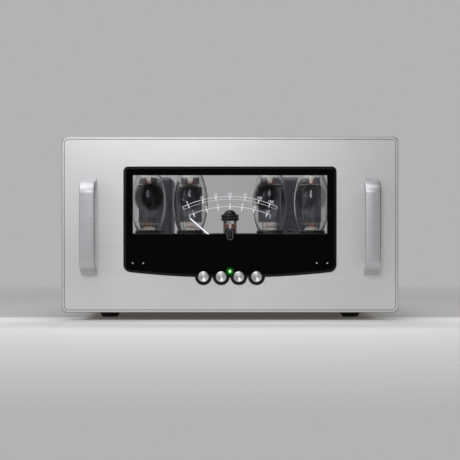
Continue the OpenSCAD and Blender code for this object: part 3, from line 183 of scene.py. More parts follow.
def panel_aluminium():
    """Brushed aluminium of the front panel, with a bright-cut rim outside its groove, and painted shade: a
    dark line in the groove and a duller outer bevel.
    """
    made, tree, spot, metal = brushed_aluminium(
        "panel_brushed_aluminium", colours().panel, roughness=0.4, stroke=0.8 * MM, contrast=0.045)
    corner, rim, line = sizes().rim_corner, sizes().rim_width, sizes().groove_width / 2
    # The panel is folded into one quarter, and each spot's distance past a rounded inner outline is taken.
    half = ((PANEL_HIGH[0] - PANEL_LOW[0]) / 2, 1.0, (PANEL_HIGH[2] - PANEL_LOW[2]) / 2)
    straight = [size - rim - corner for size in half]
    moved = add(tree, "ShaderNodeMapping", None, {"Vector": spot, "Location": (0, 0, -PANEL_MIDDLE)})
    folded = add(tree, "ShaderNodeVectorMath", None, {0: moved}, operation="ABSOLUTE")
    past = add(tree, "ShaderNodeVectorMath", None, {0: folded, 1: straight}, operation="SUBTRACT")
    outside = add(tree, "ShaderNodeVectorMath", None, {0: past, 1: (0, 0, 0)}, operation="MAXIMUM")
    out = add(tree, "ShaderNodeVectorMath", "Value", {0: outside}, operation="LENGTH")
    on_rim = add(tree, "ShaderNodeMath", None, {0: out, 1: corner}, operation="GREATER_THAN")
    bevel_from = corner + rim - sizes().panel_bevel
    bevel_painted_shade = add(tree, "ShaderNodeMath", None, {0: out, 1: bevel_from}, operation="GREATER_THAN")
    groove_painted_shade = add(tree, "ShaderNodeMath", None, {0: out, 1: corner - line, 2: line}, operation="COMPARE")
    # The groove's dark line and the bevel's duller tone are painted shade for the shadow in the groove and at
    # the edge.
    for place, shade in ((on_rim, "#e4e4e4"), (bevel_painted_shade, "#a9a8a6"), (groove_painted_shade, "#8f8d89")):
        metal["Base Color"] = add(tree, "ShaderNodeMix", "Result_Color", {
            "Factor_Float": place,
            "A_Color": metal["Base Color"],
            "B_Color": rgba(linear(shade)),
        }, data_type="RGBA")
    return finish(made, add(tree, "ShaderNodeBsdfPrincipled", None, metal))


def turned_aluminium():
    """Lathe-turned aluminium: fine rings that draw the light into a bright hourglass across the face."""
    made, tree, spot = start("turned_aluminium")
    bright = colours().button
    _, base = mottled(tree, spot, grain=0.7 * MM, detail=2.0, dark=rgba(bright, 0.88), light=rgba(bright))
    along = add(tree, "ShaderNodeTangent", direction_type="RADIAL", axis="Y")
    return finish(made, add(tree, "ShaderNodeBsdfPrincipled", None, {
        "Base Color": base, "Metallic": 1.0, "Roughness": 0.34, "Anisotropic": 0.85,
        "Anisotropic Rotation": 0.25, "Tangent": along}))


def clear_shader(tree, spot, ripple, detail, ior, tint, shade):
    """Clear, polished shader of a tint, with faint haze in ripples.

    Lamp light and bounced light pass straight through it and take on its shade.
    """
    wipe = add(tree, "ShaderNodeTexNoise", "Fac", {"Vector": spot, "Scale": 1 / ripple, "Detail": detail})
    haze = add(tree, "ShaderNodeMapRange", "Result", {
        "Value": wipe, "From Min": 0.4, "From Max": 0.8, "To Min": 0.0, "To Max": 0.02})
    clear = add(tree, "ShaderNodeBsdfPrincipled", None, {
        "Base Color": rgba(tint), "Roughness": haze, "IOR": ior, "Transmission Weight": 1.0})
    shadow = add(tree, "ShaderNodeLightPath", "Is Shadow Ray")
    bounced = add(tree, "ShaderNodeLightPath", "Is Diffuse Ray")
    passing = add(tree, "ShaderNodeMath", None, {0: shadow, 1: bounced}, operation="MAXIMUM")
    straight = add(tree, "ShaderNodeBsdfTransparent", None, {"Color": rgba(shade)})
    return add(tree, "ShaderNodeMixShader", None, {0: passing, 1: clear, 2: straight})


def acrylic(name, tint, edge=None):
    """Polished cast acrylic: clear, with a sharp surface reflection and, on a bevelled pane, a dark edge."""
    made, tree, spot = start(name)
    shown = clear_shader(tree, spot, ripple=33 * MM, detail=2.0, ior=1.49, tint=tint, shade=tint)
    if edge is not None:
        facing = add(tree, "ShaderNodeNewGeometry", "True Normal")
        turned = add(tree, "ShaderNodeSeparateXYZ", "Y", {"Vector": facing})
        level = add(tree, "ShaderNodeMath", None, {0: turned}, operation="ABSOLUTE")
        bevel = add(tree, "ShaderNodeMath", None, {0: level, 1: 0.995}, operation="LESS_THAN")
        ground = add(tree, "ShaderNodeBsdfPrincipled", None, {
            "Base Color": rgba(edge), "Roughness": 0.15, "Specular IOR Level": 0.14})
        shown = add(tree, "ShaderNodeMixShader", None, {0: bevel, 1: shown, 2: ground})
    return finish(made, shown)


def blown_glass(name, patch, turn, reach, smoke, strength, coat):
    """Blown glass of a valve: clear, with a smoky mirror where getter metal was flashed on to it.

    The mirror fills a rounded patch with the given middle, turn about Z and reach along each axis. Its
    strength says how much it hides what is behind it, and its coat how glassy it is.
    """
    made, tree, spot = start(name)
    shown = clear_shader(tree, spot, ripple=40 * MM, detail=1.0, ior=1.5,
                         tint=linear("#fdfdfc"), shade=linear("#fbfbfa"))
    mirror = add(tree, "ShaderNodeBsdfPrincipled", None, {
        "Base Color": rgba(smoke), "Metallic": 1.0, "Roughness": 0.12, "Coat Weight": coat})
    moved = add(tree, "ShaderNodeMapping", None, {"Vector": spot, "Location": [-place for place in patch]})
    turned = add(tree, "ShaderNodeMapping", None, {"Vector": moved, "Rotation": (0, 0, -radians(turn))})
    shrunk = [1 / size for size in reach]
    scaled = add(tree, "ShaderNodeVectorMath", None, {0: turned, 1: shrunk}, operation="MULTIPLY")
    away = add(tree, "ShaderNodeVectorMath", "Value", {0: scaled}, operation="LENGTH")
    ragged = add(tree, "ShaderNodeTexNoise", "Fac", {"Vector": spot, "Scale": 1 / (8.3 * MM), "Detail": 3.0})
    uneven = add(tree, "ShaderNodeMath", None, {0: ragged, 1: 0.25, 2: away}, operation="MULTIPLY_ADD")
    flash = add(tree, "ShaderNodeMapRange", "Result", {
        "Value": uneven, "From Min": 0.85, "From Max": 1.2, "To Min": strength, "To Max": 0.0})
    return finish(made, add(tree, "ShaderNodeMixShader", None, {0: flash, 1: shown, 2: mirror}))


def moulded(name, colour, roughness, grain, depth, gloss=0.5):
    """Moulded plastic or rubber, or matt ink: a fine tool grain that breaks up its sheen."""
    made, tree, spot = start(name)
    specks = add(tree, "ShaderNodeTexNoise", "Fac", {"Vector": spot, "Scale": 1 / grain, "Detail": 3.0})
    _, base = mottled(tree, spot, grain=40 * MM, detail=2.0, dark=rgba(colour, 0.8), light=rgba(colour, 1.2))
    rough = add(tree, "ShaderNodeMapRange", "Result", {
        "Value": specks, **NOISE_RANGE, "To Min": roughness - 0.05, "To Max": roughness + 0.08})
    skin = add(tree, "ShaderNodeBump", None, {"Height": specks, "Strength": 0.35, "Distance": depth})
    return finish(made, add(tree, "ShaderNodeBsdfPrincipled", None, {
        "Base Color": base, "Roughness": rough, "Specular IOR Level": gloss, "Normal": skin}))


def painted_steel(name, colour, roughness, peel_size, depth, edge, mottle):
    """Paint on sheet steel: orange peel in tone and gloss, and edges rounded by the coat."""
    made, tree, spot = start(name)
    peel = add(tree, "ShaderNodeTexNoise", "Fac", {"Vector": spot, "Scale": 1 / peel_size, "Detail": 2.0})
    tone = add(tree, "ShaderNodeMapRange", "Result", {"Value": peel, **NOISE_RANGE})
    base = add(tree, "ShaderNodeMix", "Result_Color", {
        "Factor_Float": tone,
        "A_Color": rgba(colour, 1 - mottle),
        "B_Color": rgba(colour, 1 + mottle),
    }, data_type="RGBA")
    rough = add(tree, "ShaderNodeMapRange", "Result", {
        "Value": peel, **NOISE_RANGE, "To Min": roughness - 0.04, "To Max": roughness + 0.06})
    soft = add(tree, "ShaderNodeBevel", None, {"Radius": edge}, samples=4)
    skin = add(tree, "ShaderNodeBump", None, {
        "Height": peel, "Strength": 0.4, "Distance": depth, "Normal": soft})
    return finish(made, add(tree, "ShaderNodeBsdfPrincipled", None, {
        "Base Color": base, "Roughness": rough, "Normal": skin}))


def plated(name, colour, roughness):
    """Plated metal: bright, with faint wear in its gloss."""
    made, tree, spot = start(name)
    wear, base = mottled(tree, spot, grain=3.3 * MM, detail=3.0, dark=rgba(colour, 0.85), light=rgba(colour))
    rough = add(tree, "ShaderNodeMapRange", "Result", {
        "Value": wear, **NOISE_RANGE, "To Min": roughness, "To Max": roughness + 0.12})
    soft = add(tree, "ShaderNodeBevel", None, {"Radius": 0.3 * MM}, samples=4)
    return finish(made, add(tree, "ShaderNodeBsdfPrincipled", None, {
        "Base Color": base, "Metallic": 1.0, "Roughness": rough, "Normal": soft}))


def carbonised_nickel():
    """Anode sheet, carbonised to shed heat: dull charcoal with a cloudy, slightly metallic sheen."""
    made, tree, spot = start("carbonised_nickel")
    char = colours().anode
    cloud, base = mottled(tree, spot, grain=6 * MM, detail=4.0, dark=rgba(char, 0.7), light=rgba(char, 1.3))
    rough = add(tree, "ShaderNodeMapRange", "Result", {"Value": cloud, "To Min": 0.28, "To Max": 0.5})
    skin = add(tree, "ShaderNodeBump", None, {"Height": cloud, "Strength": 0.2, "Distance": 0.2 * MM})
    return finish(made, add(tree, "ShaderNodeBsdfPrincipled", None, {
        "Base Color": base, "Metallic": 0.3, "Roughness": rough, "Normal": skin}))


def mica_sheet():
    """Mica sheet: pale flakes with a soft shine."""
    made, tree, spot = start("mica")
    flakes = add(tree, "ShaderNodeTexVoronoi", "Distance", {"Vector": spot, "Scale": 1 / (1.4 * MM)})
    base = add(tree, "ShaderNodeMix", "Result_Color", {
        "Factor_Float": flakes,
        "A_Color": rgba(linear("#b9b2a2")),
        "B_Color": rgba(linear("#d9d3c4")),
    }, data_type="RGBA")
    return finish(made, add(tree, "ShaderNodeBsdfPrincipled", None, {"Base Color": base, "Roughness": 0.3}))


def fired_ceramic(name, colour):
    """Unglazed ceramic: dry, pale and finely speckled."""
    made, tree, spot = start(name)
    specks, base = mottled(tree, spot, grain=1.1 * MM, detail=2.0, dark=rgba(colour, 0.9), light=rgba(colour))
    skin = add(tree, "ShaderNodeBump", None, {"Height": specks, "Strength": 0.15, "Distance": 0.1 * MM})
    return finish(made, add(tree, "ShaderNodeBsdfPrincipled", None, {
        "Base Color": base, "Roughness": 0.5, "Normal": skin}))


def pressed_glass():
    """Pressed glass stem of a valve: thick and pale, with a faint warm painted glow for the heater's light on
    it.
    """
    made, tree, spot = start("pressed_stem_glass")
    swirl, base = mottled(tree, spot, grain=3.8 * MM, detail=3.0,
                          dark=rgba(linear("#8f8a82")), light=rgba(linear("#fbf7f0")))
    skin = add(tree, "ShaderNodeBump", None, {"Height": swirl, "Strength": 0.6, "Distance": 0.8 * MM})
    # The warm emission is a painted glow; the stem is no lamp.
    return finish(made, add(tree, "ShaderNodeBsdfPrincipled", None, {
        "Base Color": base, "Roughness": 0.1, "Emission Color": rgba(linear("#ffb070")),
        "Emission Strength": 0.04, "Normal": skin}))


def lit(name, colour, strength):
    """Lit lamp lens or glowing wire: uneven, as a diffused or hot light is."""
    made, tree, spot = start(name)
    _, light = mottled(tree, spot, grain=2 * MM, detail=2.0, dark=rgba(colour, 0.7), light=rgba(colour))
    return finish(made, add(tree, "ShaderNodeBsdfPrincipled", None, {
        "Base Color": rgba(colour, 0.5), "Roughness": 0.3,
        "Emission Color": light, "Emission Strength": strength}))


def white_ink(name, strength):
    """Screen-printed white ink with a faint painted glow."""
    made, tree, spot = start(name)
    _, ink_with_painted_light = mottled(tree, spot, grain=1.4 * MM, detail=2.0,
                     dark=rgba(linear("#d0d1d4")), light=rgba(linear("#f6f6f6")))
    # The ink's emission is a painted glow.
    return finish(made, add(tree, "ShaderNodeBsdfPrincipled", None, {
        "Base Color": ink_with_painted_light, "Roughness": 0.55, "Emission Color": ink_with_painted_light, "Emission Strength": strength}))


def scattered_light():
    """Light of the status lamp scattered in the acrylic around it: bright at the lens and soon gone."""
    made, tree, spot = start("scattered_lamp_light")
    centre = middle("status_lamp")
    beside = add(tree, "ShaderNodeMapping", None, {
        "Vector": spot, "Location": (-centre[0], 0, -centre[2]), "Scale": (1, 0, 1)})
    away = add(tree, "ShaderNodeVectorMath", "Value", {0: beside}, operation="LENGTH")
    near = add(tree, "ShaderNodeMapRange", "Result", {
        "Value": away, "From Max": sizes().halo_radius, "To Min": 0.6, "To Max": 0.0})
    soft = add(tree, "ShaderNodeMath", None, {0: near, 1: 1.8}, operation="POWER")
    shine = add(tree, "ShaderNodeEmission", None, {"Color": rgba(colours().lamp), "Strength": 1.5})
    clear = add(tree, "ShaderNodeBsdfTransparent")
    return finish(made, add(tree, "ShaderNodeMixShader", None, {0: soft, 1: clear, 2: shine}))


def solder_mask():
    """Circuit board: green solder mask over faint copper tracks."""
    made, tree, spot = start("solder_mask")
    # Tracks run between fields of 5.5 by 2.75 mm, a half and a quarter of the pattern's 11 mm.
    tracks = add(tree, "ShaderNodeTexBrick", "Color", {
        "Vector": spot, "Scale": 1 / (11 * MM), "Color1": rgba(linear("#0d4a2a")),
        "Color2": rgba(linear("#11552f")), "Mortar": rgba(linear("#0a3a20"))})
    return finish(made, add(tree, "ShaderNodeBsdfPrincipled", None, {
        "Base Color": tracks, "Roughness": 0.35}))


def varnished_laminations():
    """Transformer core: thin steel sheets, stacked, under brown varnish."""
    made, tree, spot = start("varnished_laminations")
    # Sheets are about 0.5 mm thick; they are drawn 1.05 mm apart so that they show.
    sheets = add(tree, "ShaderNodeTexWave", "Fac", {"Vector": spot, "Scale": pi / (10 * 1.05 * MM)})
    base = add(tree, "ShaderNodeMix", "Result_Color", {
        "Factor_Float": sheets,
        "A_Color": rgba(linear("#3a302a")),
        "B_Color": rgba(linear("#544840")),
    }, data_type="RGBA")
    skin = add(tree, "ShaderNodeBump", None, {"Height": sheets, "Strength": 0.3, "Distance": 0.2 * MM})
    return finish(made, add(tree, "ShaderNodeBsdfPrincipled", None, {
        "Base Color": base, "Metallic": 0.6, "Roughness": 0.4, "Normal": skin}))


def dress(material, *nodes):
    """Put a material on CAD nodes."""
    for node in nodes:
        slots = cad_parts[node].data.materials
        slots.clear()
        slots.append(material)


# Mesh helpers


def piece(name, mesh_data, materials, body, replaced=(), crease=35):
    """Turn a bmesh into an object that rides on a body."""
    bmesh.ops.remove_doubles(mesh_data, verts=mesh_data.verts, dist=1e-7)
    bmesh.ops.recalc_face_normals(mesh_data, faces=mesh_data.faces)
    mesh = bpy.data.meshes.new(name)
    mesh_data.to_mesh(mesh)
    mesh_data.free()
    for material in materials:
        mesh.materials.append(material)
    mesh.shade_smooth()
    mesh.set_sharp_from_angle(angle=radians(crease))
    made = bpy.data.objects.new(name, mesh)
    bpy.context.scene.collection.objects.link(made)
    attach(made, body)
    if replaced:
        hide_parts(*replaced)


def paint(verts, index):
    """Give all faces of some vertices a material number."""
    for face in {face for vert in verts for face in vert.link_faces}:
        face.material_index = index


def arc(centre, radius, start_angle, end_angle, steps):
    """Points of an arc in a plane, angles in degrees."""
    angles = [radians(start_angle + (end_angle - start_angle) * i / steps) for i in range(steps + 1)]
    return [(centre[0] + radius * cos(a), centre[1] + radius * sin(a)) for a in angles]


def soften_edges(mesh_data, edges, offset, segments):
    """Round some edges."""
    bmesh.ops.bevel(mesh_data, geom=list(edges), offset=offset, affect="EDGES",
                    segments=segments, profile=0.5, material=-1)


def extrude(mesh_data, faces, along):
    """Raise flat faces along a vector and give the new vertices."""
    raised = bmesh.ops.extrude_face_region(mesh_data, geom=list(faces))["geom"]
    verts = [item for item in raised if isinstance(item, bmesh.types.BMVert)]
    bmesh.ops.translate(mesh_data, verts=verts, vec=along)
    return verts


def spin_round(mesh_data, verts, edges, centre, axis, steps):
    """Spin an outline all the way round and give the vertices of its faces."""
    before = set(mesh_data.faces)
    bmesh.ops.spin(mesh_data, geom=list(verts) + list(edges), cent=centre, axis=axis,
                   angle=2 * pi, steps=steps, use_merge=True)
    return list({vert for face in set(mesh_data.faces) - before for vert in face.verts})


def lathe(mesh_data, outline, centre, axis=(0, 0, 1), steps=64, index=0):
    """Spin an outline of (radius, height) points round an axis through a centre."""
    out = Vector((1, 0, 0))
    verts = [mesh_data.verts.new(Vector(centre) + out * radius + Vector(axis) * height)
             for radius, height in outline]
    edges = [mesh_data.edges.new(pair) for pair in zip(verts, verts[1:])]
    spun = spin_round(mesh_data, verts, edges, centre, axis, steps)
    bmesh.ops.remove_doubles(mesh_data, verts=spun, dist=1e-6)
    paint([vert for vert in spun if vert.is_valid], index)


def hoop(mesh_data, centre, radius, wire, index, steps=40):
    """Wire ring lying flat."""
    first = Vector(centre) + Vector((radius, 0, 0))
    matrix = Matrix.Translation(first) @ Matrix.Rotation(pi / 2, 4, "X")
    verts = bmesh.ops.create_circle(mesh_data, segments=10, radius=wire, matrix=matrix)["verts"]
    edges = {edge for vert in verts for edge in vert.link_edges}
    paint(spin_round(mesh_data, verts, edges, centre, (0, 0, 1), steps), index)


def block(mesh_data, low, high, index=0, soften=0.0):
    """Box between two corners with softened edges."""
    low, high = Vector(low), Vector(high)
    matrix = Matrix.Translation((low + high) / 2) @ Matrix.Diagonal((*(high - low), 1))
    verts = bmesh.ops.create_cube(mesh_data, size=1, matrix=matrix)["verts"]
    paint(verts, index)
    if soften:
        soften_edges(mesh_data, {edge for vert in verts for edge in vert.link_edges}, soften, 2)


def upright_plate(mesh_data, centre, half, low, high, index, soften=0.0):
    """Upright box with a middle and half sizes along X and Y, between two heights."""
    (x, y), (wide, deep) = centre, half
    block(mesh_data, (x - wide, y - deep, low), (x + wide, y + deep, high), index, soften)


def rod(mesh_data, start_at, end_at, radius, index, sides=16):
    """Round bar between two points."""
    start_at, end_at = Vector(start_at), Vector(end_at)
    line = end_at - start_at
    turn = Vector((0, 0, 1)).rotation_difference(line).to_matrix().to_4x4()
    matrix = Matrix.Translation((start_at + end_at) / 2) @ turn
    verts = bmesh.ops.create_cone(mesh_data, cap_ends=True, segments=sides, radius1=radius,
                                  radius2=radius, depth=line.length, matrix=matrix)["verts"]
    paint(verts, index)


def upright_wire(mesh_data, x, low, high, radius, index):
    """Upright round bar on the X axis, between two heights."""
    rod(mesh_data, (x, 0, low), (x, 0, high), radius, index)


def prism(mesh_data, outline, low, high, index, soften=0.0):
    """Flat outline of (x, y) points raised from one height to another."""
    verts = [mesh_data.verts.new((x, y, low)) for x, y in outline]
    tops = extrude(mesh_data, [mesh_data.faces.new(verts)], (0, 0, high - low))
    paint(verts + tops, index)
    if soften:
        upright = [edge for vert in verts for edge in vert.link_edges if edge.other_vert(vert) in tops]
        soften_edges(mesh_data, upright, soften, 3)


# Settings


def length_setting(name, description, default):
    """Setting of a length in metres."""
    return FloatProperty(name=name, description=description, default=default, unit="LENGTH", precision=5)


def colour_setting(name, description, code):
    """Setting of a colour, from its hex code."""
    return FloatVectorProperty(name=name, description=description, default=linear(code),
                               subtype="COLOR", min=0, max=1)


class AmplifierSizes(bpy.types.PropertyGroup):
    """Sizes of the finished pieces."""

    rim_width: length_setting("Rim width", "Bright rim outside the panel's groove", 3.2 * MM)
    # The groove's dark line and the bevel's duller tone, set by these widths, are painted shade.
    groove_width: length_setting("Groove width", "Dark line inside the panel's rim", 1.0 * MM)
    panel_bevel: length_setting("Panel bevel", "Duller bevel along the panel's edge", 0.8 * MM)
    rim_corner: length_setting("Rim corner", "Rounding of the rim's inner edge at its corners", 6.5 * MM)
    handle_edge: length_setting("Handle edge", "Rounding of the handle bar's edges", 1.4 * MM)
    button_edge: length_setting("Button edge", "Rounding of a button's rim", 0.9 * MM)
    scale_upper: length_setting("Upper scale radius", "Radius of the meter's upper arc", 160.0 * MM)
    scale_lower: length_setting("Lower scale radius", "Radius of the meter's lower arc", 145.2 * MM)
    scale_centre: length_setting("Scale centre", "Height of the arcs' common middle", 18.1 * MM)
    scale_line: length_setting("Scale line", "Width of a scale line", 0.55 * MM)
    figure_height: length_setting("Figure height", "Height of the scale's numbers", 5.4 * MM)
    aperture_foot: length_setting("Aperture foot", "Height of the clear window's lower edge", 123.3 * MM)
    post_half: length_setting("Post half width", "Half width of the meter movement's post", 4.6 * MM)
    halo_radius: length_setting("Halo radius", "Reach of the status lamp's glow", 7.0 * MM)


class AmplifierColours(bpy.types.PropertyGroup):
    """Colours of the finishes and the stage."""

    panel: colour_setting("Panel", "Brushed front panel", "#e6e6e7")
    handle: colour_setting("Handle", "Brushed handle bar", "#c9cacd")
    button: colour_setting("Button", "Turned button face", "#eaeaec")
    mask: colour_setting("Window surround", "Black surround behind the window", "#040405")
    chassis: colour_setting("Chassis", "Powder coat of the chassis", "#26262a")
    cover: colour_setting("Transformer cover", "Satin paint of the covers", "#45454c")
    anode: colour_setting("Anode", "Carbonised anode plates", "#64646c")
    glow: colour_setting("Heater glow", "Hot cathode and heater", "#ff8a3c")
    lamp: colour_setting("Status lamp", "Lit status lamp", "#4cf048")
    backdrop: colour_setting("Backdrop", "Backdrop behind the object", "#b3b3b3")
    floor: colour_setting("Floor", "Pale floor in front", "#b0b0b1")
    floor_back: colour_setting("Floor behind", "Floor beside and behind the object", "#8a8a8a")


# Operators


class AMPLIFIER_OT_stage(bpy.types.Operator):
    """Set up the camera, the floor, the soft lights and the backdrop"""

    bl_idname = "amplifier.stage"
    bl_label = "Stage"

    # Focal length in mm; then, in metres, the camera's distance from the panel, its height and its far limit
    LENS = 114.6
    CAMERA_AWAY = 2.1
    CAMERA_HEIGHT = 0.1293
    CAMERA_FAR = 50
    # Half width of the floor, where its tone changes behind the panel's front, and where it fades out
    FLOOR_HALF = 2.5
    FLOOR_CHANGE = (0.05, 0.085)
    FLOOR_FADE = (0.45, 1.25)
    # Each light's place, aim, width and height in metres, its power in watts, and whether reflections show it
    LIGHTS = (
        ("key_box", (-0.17, -2.3, 0.82), (0, -0.19, 0.2), (0.6, 0.56), 6.3, True),
        ("left_box", (-1.8, -2.0, 0.8), (0, -0.19, 0.15), (0.8, 1.0), 5, True),
        ("low_card", (0.66, -1.39, 0.2), (-0.1, -0.1, 0.16), (0.3, 0.3), 0.3, True),
        ("valve_box", (0, 0.03, 0.62), (0, -0.1, 0.17), (0.5, 0.1), 2.5, False),
        ("top_box", (-0.6, -0.85, 1.9), (0, -0.4, 0.1), (2.4, 2.2), 22, True),
    )

    def execute(self, context):
        scene = context.scene
        scene.view_settings.view_transform = "Standard"
        camera_data = bpy.data.cameras.new("camera")
        camera_data.lens = self.LENS
        camera_data.clip_end = self.CAMERA_FAR
        camera = bpy.data.objects.new("camera", camera_data)
        camera.location = (0, PANEL_FRONT - self.CAMERA_AWAY, self.CAMERA_HEIGHT)
        camera.rotation_euler = (pi / 2, 0, 0)
        scene.collection.objects.link(camera)
        scene.camera = camera
        self.backdrop(scene)
        self.floor(scene)
        self.lights(scene)
        return {"FINISHED"}

    def backdrop(self, scene):
        """World: plain grey behind the object; reflections see it dim behind the camera and at the sides."""
        world = bpy.data.worlds.new("studio")
        scene.world = world
        world.use_nodes = True
        tree = world.node_tree
        tree.nodes.clear()
        grey = rgba(colours().backdrop)
        ray = add(tree, "ShaderNodeTexCoord", "Generated")
        toward = add(tree, "ShaderNodeSeparateXYZ", "Y", {"Vector": ray})
        sideways = add(tree, "ShaderNodeSeparateXYZ", "X", {"Vector": ray})
        beside = add(tree, "ShaderNodeMath", None, {0: sideways}, operation="ABSOLUTE")
        # Straight behind the camera it is nearly black.
        dim = add(tree, "ShaderNodeMapRange", "Result", {
            "Value": toward, "From Min": -0.985, "From Max": -0.90, "To Min": 0.05})
        # It falls off to the right, and again far out on both sides.
        right = add(tree, "ShaderNodeMapRange", "Result", {
            "Value": sideways, "From Min": 0.0, "From Max": 0.4, "To Min": 1.0, "To Max": 0.15})
        flank = add(tree, "ShaderNodeMapRange", "Result", {
            "Value": beside, "From Min": 0.7, "From Max": 0.95, "To Min": 1.0, "To Max": 0.3})
        shaded = add(tree, "ShaderNodeMath", None, {0: right, 1: flank}, operation="MULTIPLY")
        level = add(tree, "ShaderNodeMath", None, {0: dim, 1: shaded}, operation="MULTIPLY")
        room = add(tree, "ShaderNodeBackground", None, {"Color": grey, "Strength": level})
        plain = add(tree, "ShaderNodeBackground", None, {"Color": grey})
        ambient = add(tree, "ShaderNodeBackground", None, {"Color": (1, 1, 1, 1), "Strength": 0.85})
        camera = add(tree, "ShaderNodeLightPath", "Is Camera Ray")
        passed = add(tree, "ShaderNodeLightPath", "Is Transmission Ray")
        glossy = add(tree, "ShaderNodeLightPath", "Is Glossy Ray")
        sharp = add(tree, "ShaderNodeMath", None, {0: glossy, 1: passed}, operation="MAXIMUM")
        around = add(tree, "ShaderNodeMixShader", None, {0: sharp, 1: ambient, 2: room})
        mixed = add(tree, "ShaderNodeMixShader", None, {0: camera, 1: around, 2: plain})
        add(tree, "ShaderNodeOutputWorld", None, {"Surface": mixed})

    def floor(self, scene):
        """Pale floor that takes the backdrop's tone behind the front panel and fades out into it."""
        mesh_data = bmesh.new()
        bmesh.ops.create_grid(mesh_data, x_segments=2, y_segments=2, size=self.FLOOR_HALF)
        mesh = bpy.data.meshes.new("floor")
        mesh_data.to_mesh(mesh)
        mesh_data.free()
        made, tree, spot = start("studio_floor")
        change_from, change_to = (PANEL_FRONT + behind for behind in self.FLOOR_CHANGE)
        fade_from, fade_to = self.FLOOR_FADE
        along = add(tree, "ShaderNodeSeparateXYZ", "Y", {"Vector": spot})
        back = add(tree, "ShaderNodeMapRange", "Result", {
            "Value": along, "From Min": change_from, "From Max": change_to})
        base = add(tree, "ShaderNodeMix", "Result_Color", {
            "Factor_Float": back,
            "A_Color": rgba(colours().floor),
            "B_Color": rgba(colours().floor_back),
        }, data_type="RGBA")
        away = add(tree, "ShaderNodeVectorMath", "Value", {0: spot}, operation="LENGTH")
        fade = add(tree, "ShaderNodeMapRange", "Result", {
            "Value": away, "From Min": fade_from, "From Max": fade_to})
        # The faint even emission is a painted glow that lifts the shade under the case.
        matt = add(tree, "ShaderNodeBsdfPrincipled", None, {
            "Base Color": base, "Roughness": 1.0, "Specular IOR Level": 0.0,
            "Emission Color": rgba(linear("#4c4844")), "Emission Strength": 1.0})
        clear = add(tree, "ShaderNodeBsdfTransparent")
        finish(made, add(tree, "ShaderNodeMixShader", None, {0: fade, 1: matt, 2: clear}))
        mesh.materials.append(made)
        floor = bpy.data.objects.new("floor", mesh)
        scene.collection.objects.link(floor)

    def lights(self, scene):
        """Soft boxes above the camera, on the left, over the valves and overhead, and a small low card."""
        for name, place, aim, (width, tall), power, reflected in self.LIGHTS:
            data = bpy.data.lights.new(name, "AREA")
            data.shape = "RECTANGLE"
            data.size = width
            data.size_y = tall
            data.energy = power
            lamp = bpy.data.objects.new(name, data)
            lamp.location = place
            lamp.rotation_euler = (Vector(aim) - Vector(place)).to_track_quat("-Z", "Y").to_euler()
            lamp.visible_camera = False
            lamp.visible_glossy = reflected
            scene.collection.objects.link(lamp)


class AMPLIFIER_OT_front(bpy.types.Operator):
    """Finish the front panel, the window and its surround"""

    bl_idname = "amplifier.front"
    bl_label = "Front panel and window"

    # Ink and glow lie just inside the pane's back.
    INK = 0.1 * MM
    INK_INSIDE = 0.2 * MM
    HALO_INSIDE = 0.15 * MM
    # Line round the movement's post: its ends below and above the clear window's foot, and its width
    RIM_BELOW = 8.3 * MM
    RIM_ABOVE = 6.5 * MM
    RIM_LINE = 0.9 * MM
    # Rounding of its upper corners, as a share of the post's half width
    RIM_CORNER = 0.9
    # Slit mark: half width, and how far it stops below the line's top
    SLIT_HALF = 0.4 * MM
    SLIT_SHORT = 3 * MM

    def execute(self, context):
        dress(panel_aluminium(), "front_panel")
        dress(acrylic("bevelled_acrylic", linear("#f4f4f6"), linear("#16161a")), "front_glass")
        dress(acrylic("dial_acrylic", linear("#fcfdfd")), "dial_glass")
        surround = moulded("window_surround", colours().mask, roughness=0.6, grain=0.4 * MM,
                           depth=0.003 * MM, gloss=0.03)
        dress(surround, "window_frame")
        housing = moulded("movement_housing", linear("#060608"), roughness=0.45, grain=0.5 * MM,
                          depth=0.03 * MM, gloss=0.1)
        dress(housing, "meter_movement")
        # The needle's white is given the same painted glow.
        dress(white_ink("needle_white", strength=0.75), "meter_needle")
        dress(lit("status_lens", linear("#c4f7be"), strength=3.0), "status_lamp")
        dress(lit("valve_lamp_lens", linear("#d0d0d4"), strength=0.45), "tube_lamps")
        dress(solder_mask(), "control_board", "main_board")
        self.halo()
        self.movement_rim()
        return {"FINISHED"}

    def movement_rim(self):
        """Grey line on the pane round the meter movement's post, with a slit mark down its middle: painted
        highlight for the lit edges of the movement.
        """
        front = PANE_BACK - self.INK_INSIDE
        foot, top = sizes().aperture_foot - self.RIM_BELOW, sizes().aperture_foot + self.RIM_ABOVE
        half = sizes().post_half
        turn = half * self.RIM_CORNER
        mesh_data = bmesh.new()
        edges = []
        for inset in (0, self.RIM_LINE):
            outline = arc((0, foot + half), half - inset, 180, 360, 16)
            outline += arc((half - turn, top - turn), turn - inset, 0, 90, 8)
            outline += arc((turn - half, top - turn), turn - inset, 90, 180, 8)
            verts = [mesh_data.verts.new((x, front, z)) for x, z in outline]
            edges += [mesh_data.edges.new(pair) for pair in zip(verts, verts[1:] + verts[:1])]
        ring = bmesh.ops.bridge_loops(mesh_data, edges=edges)["faces"]
        extrude(mesh_data, ring, (0, self.INK, 0))
        block(mesh_data, (-self.SLIT_HALF, front, foot + half),
              (self.SLIT_HALF, front + self.INK, top - self.SLIT_SHORT))
        # The grey line and slit are painted highlight standing in for the lit edges of the black movement.
        ink_with_painted_light = moulded("grey_edge_highlight", linear("#55565b"), roughness=0.5, grain=0.2 * MM, depth=0.01 * MM)
        piece("meter_movement_rim_highlight", mesh_data, [ink_with_painted_light], ROOT)

    def halo(self):
        """Disc that carries the glow round the status lamp."""
        centre = middle("status_lamp")
        mesh_data = bmesh.new()
        place = (centre[0], PANE_BACK - self.HALO_INSIDE, centre[2])
        matrix = Matrix.Translation(place) @ Matrix.Rotation(pi / 2, 4, "X")
        bmesh.ops.create_circle(mesh_data, cap_ends=True, segments=48,
                                radius=sizes().halo_radius, matrix=matrix)
        piece("status_lamp_halo", mesh_data, [scattered_light()], ROOT)


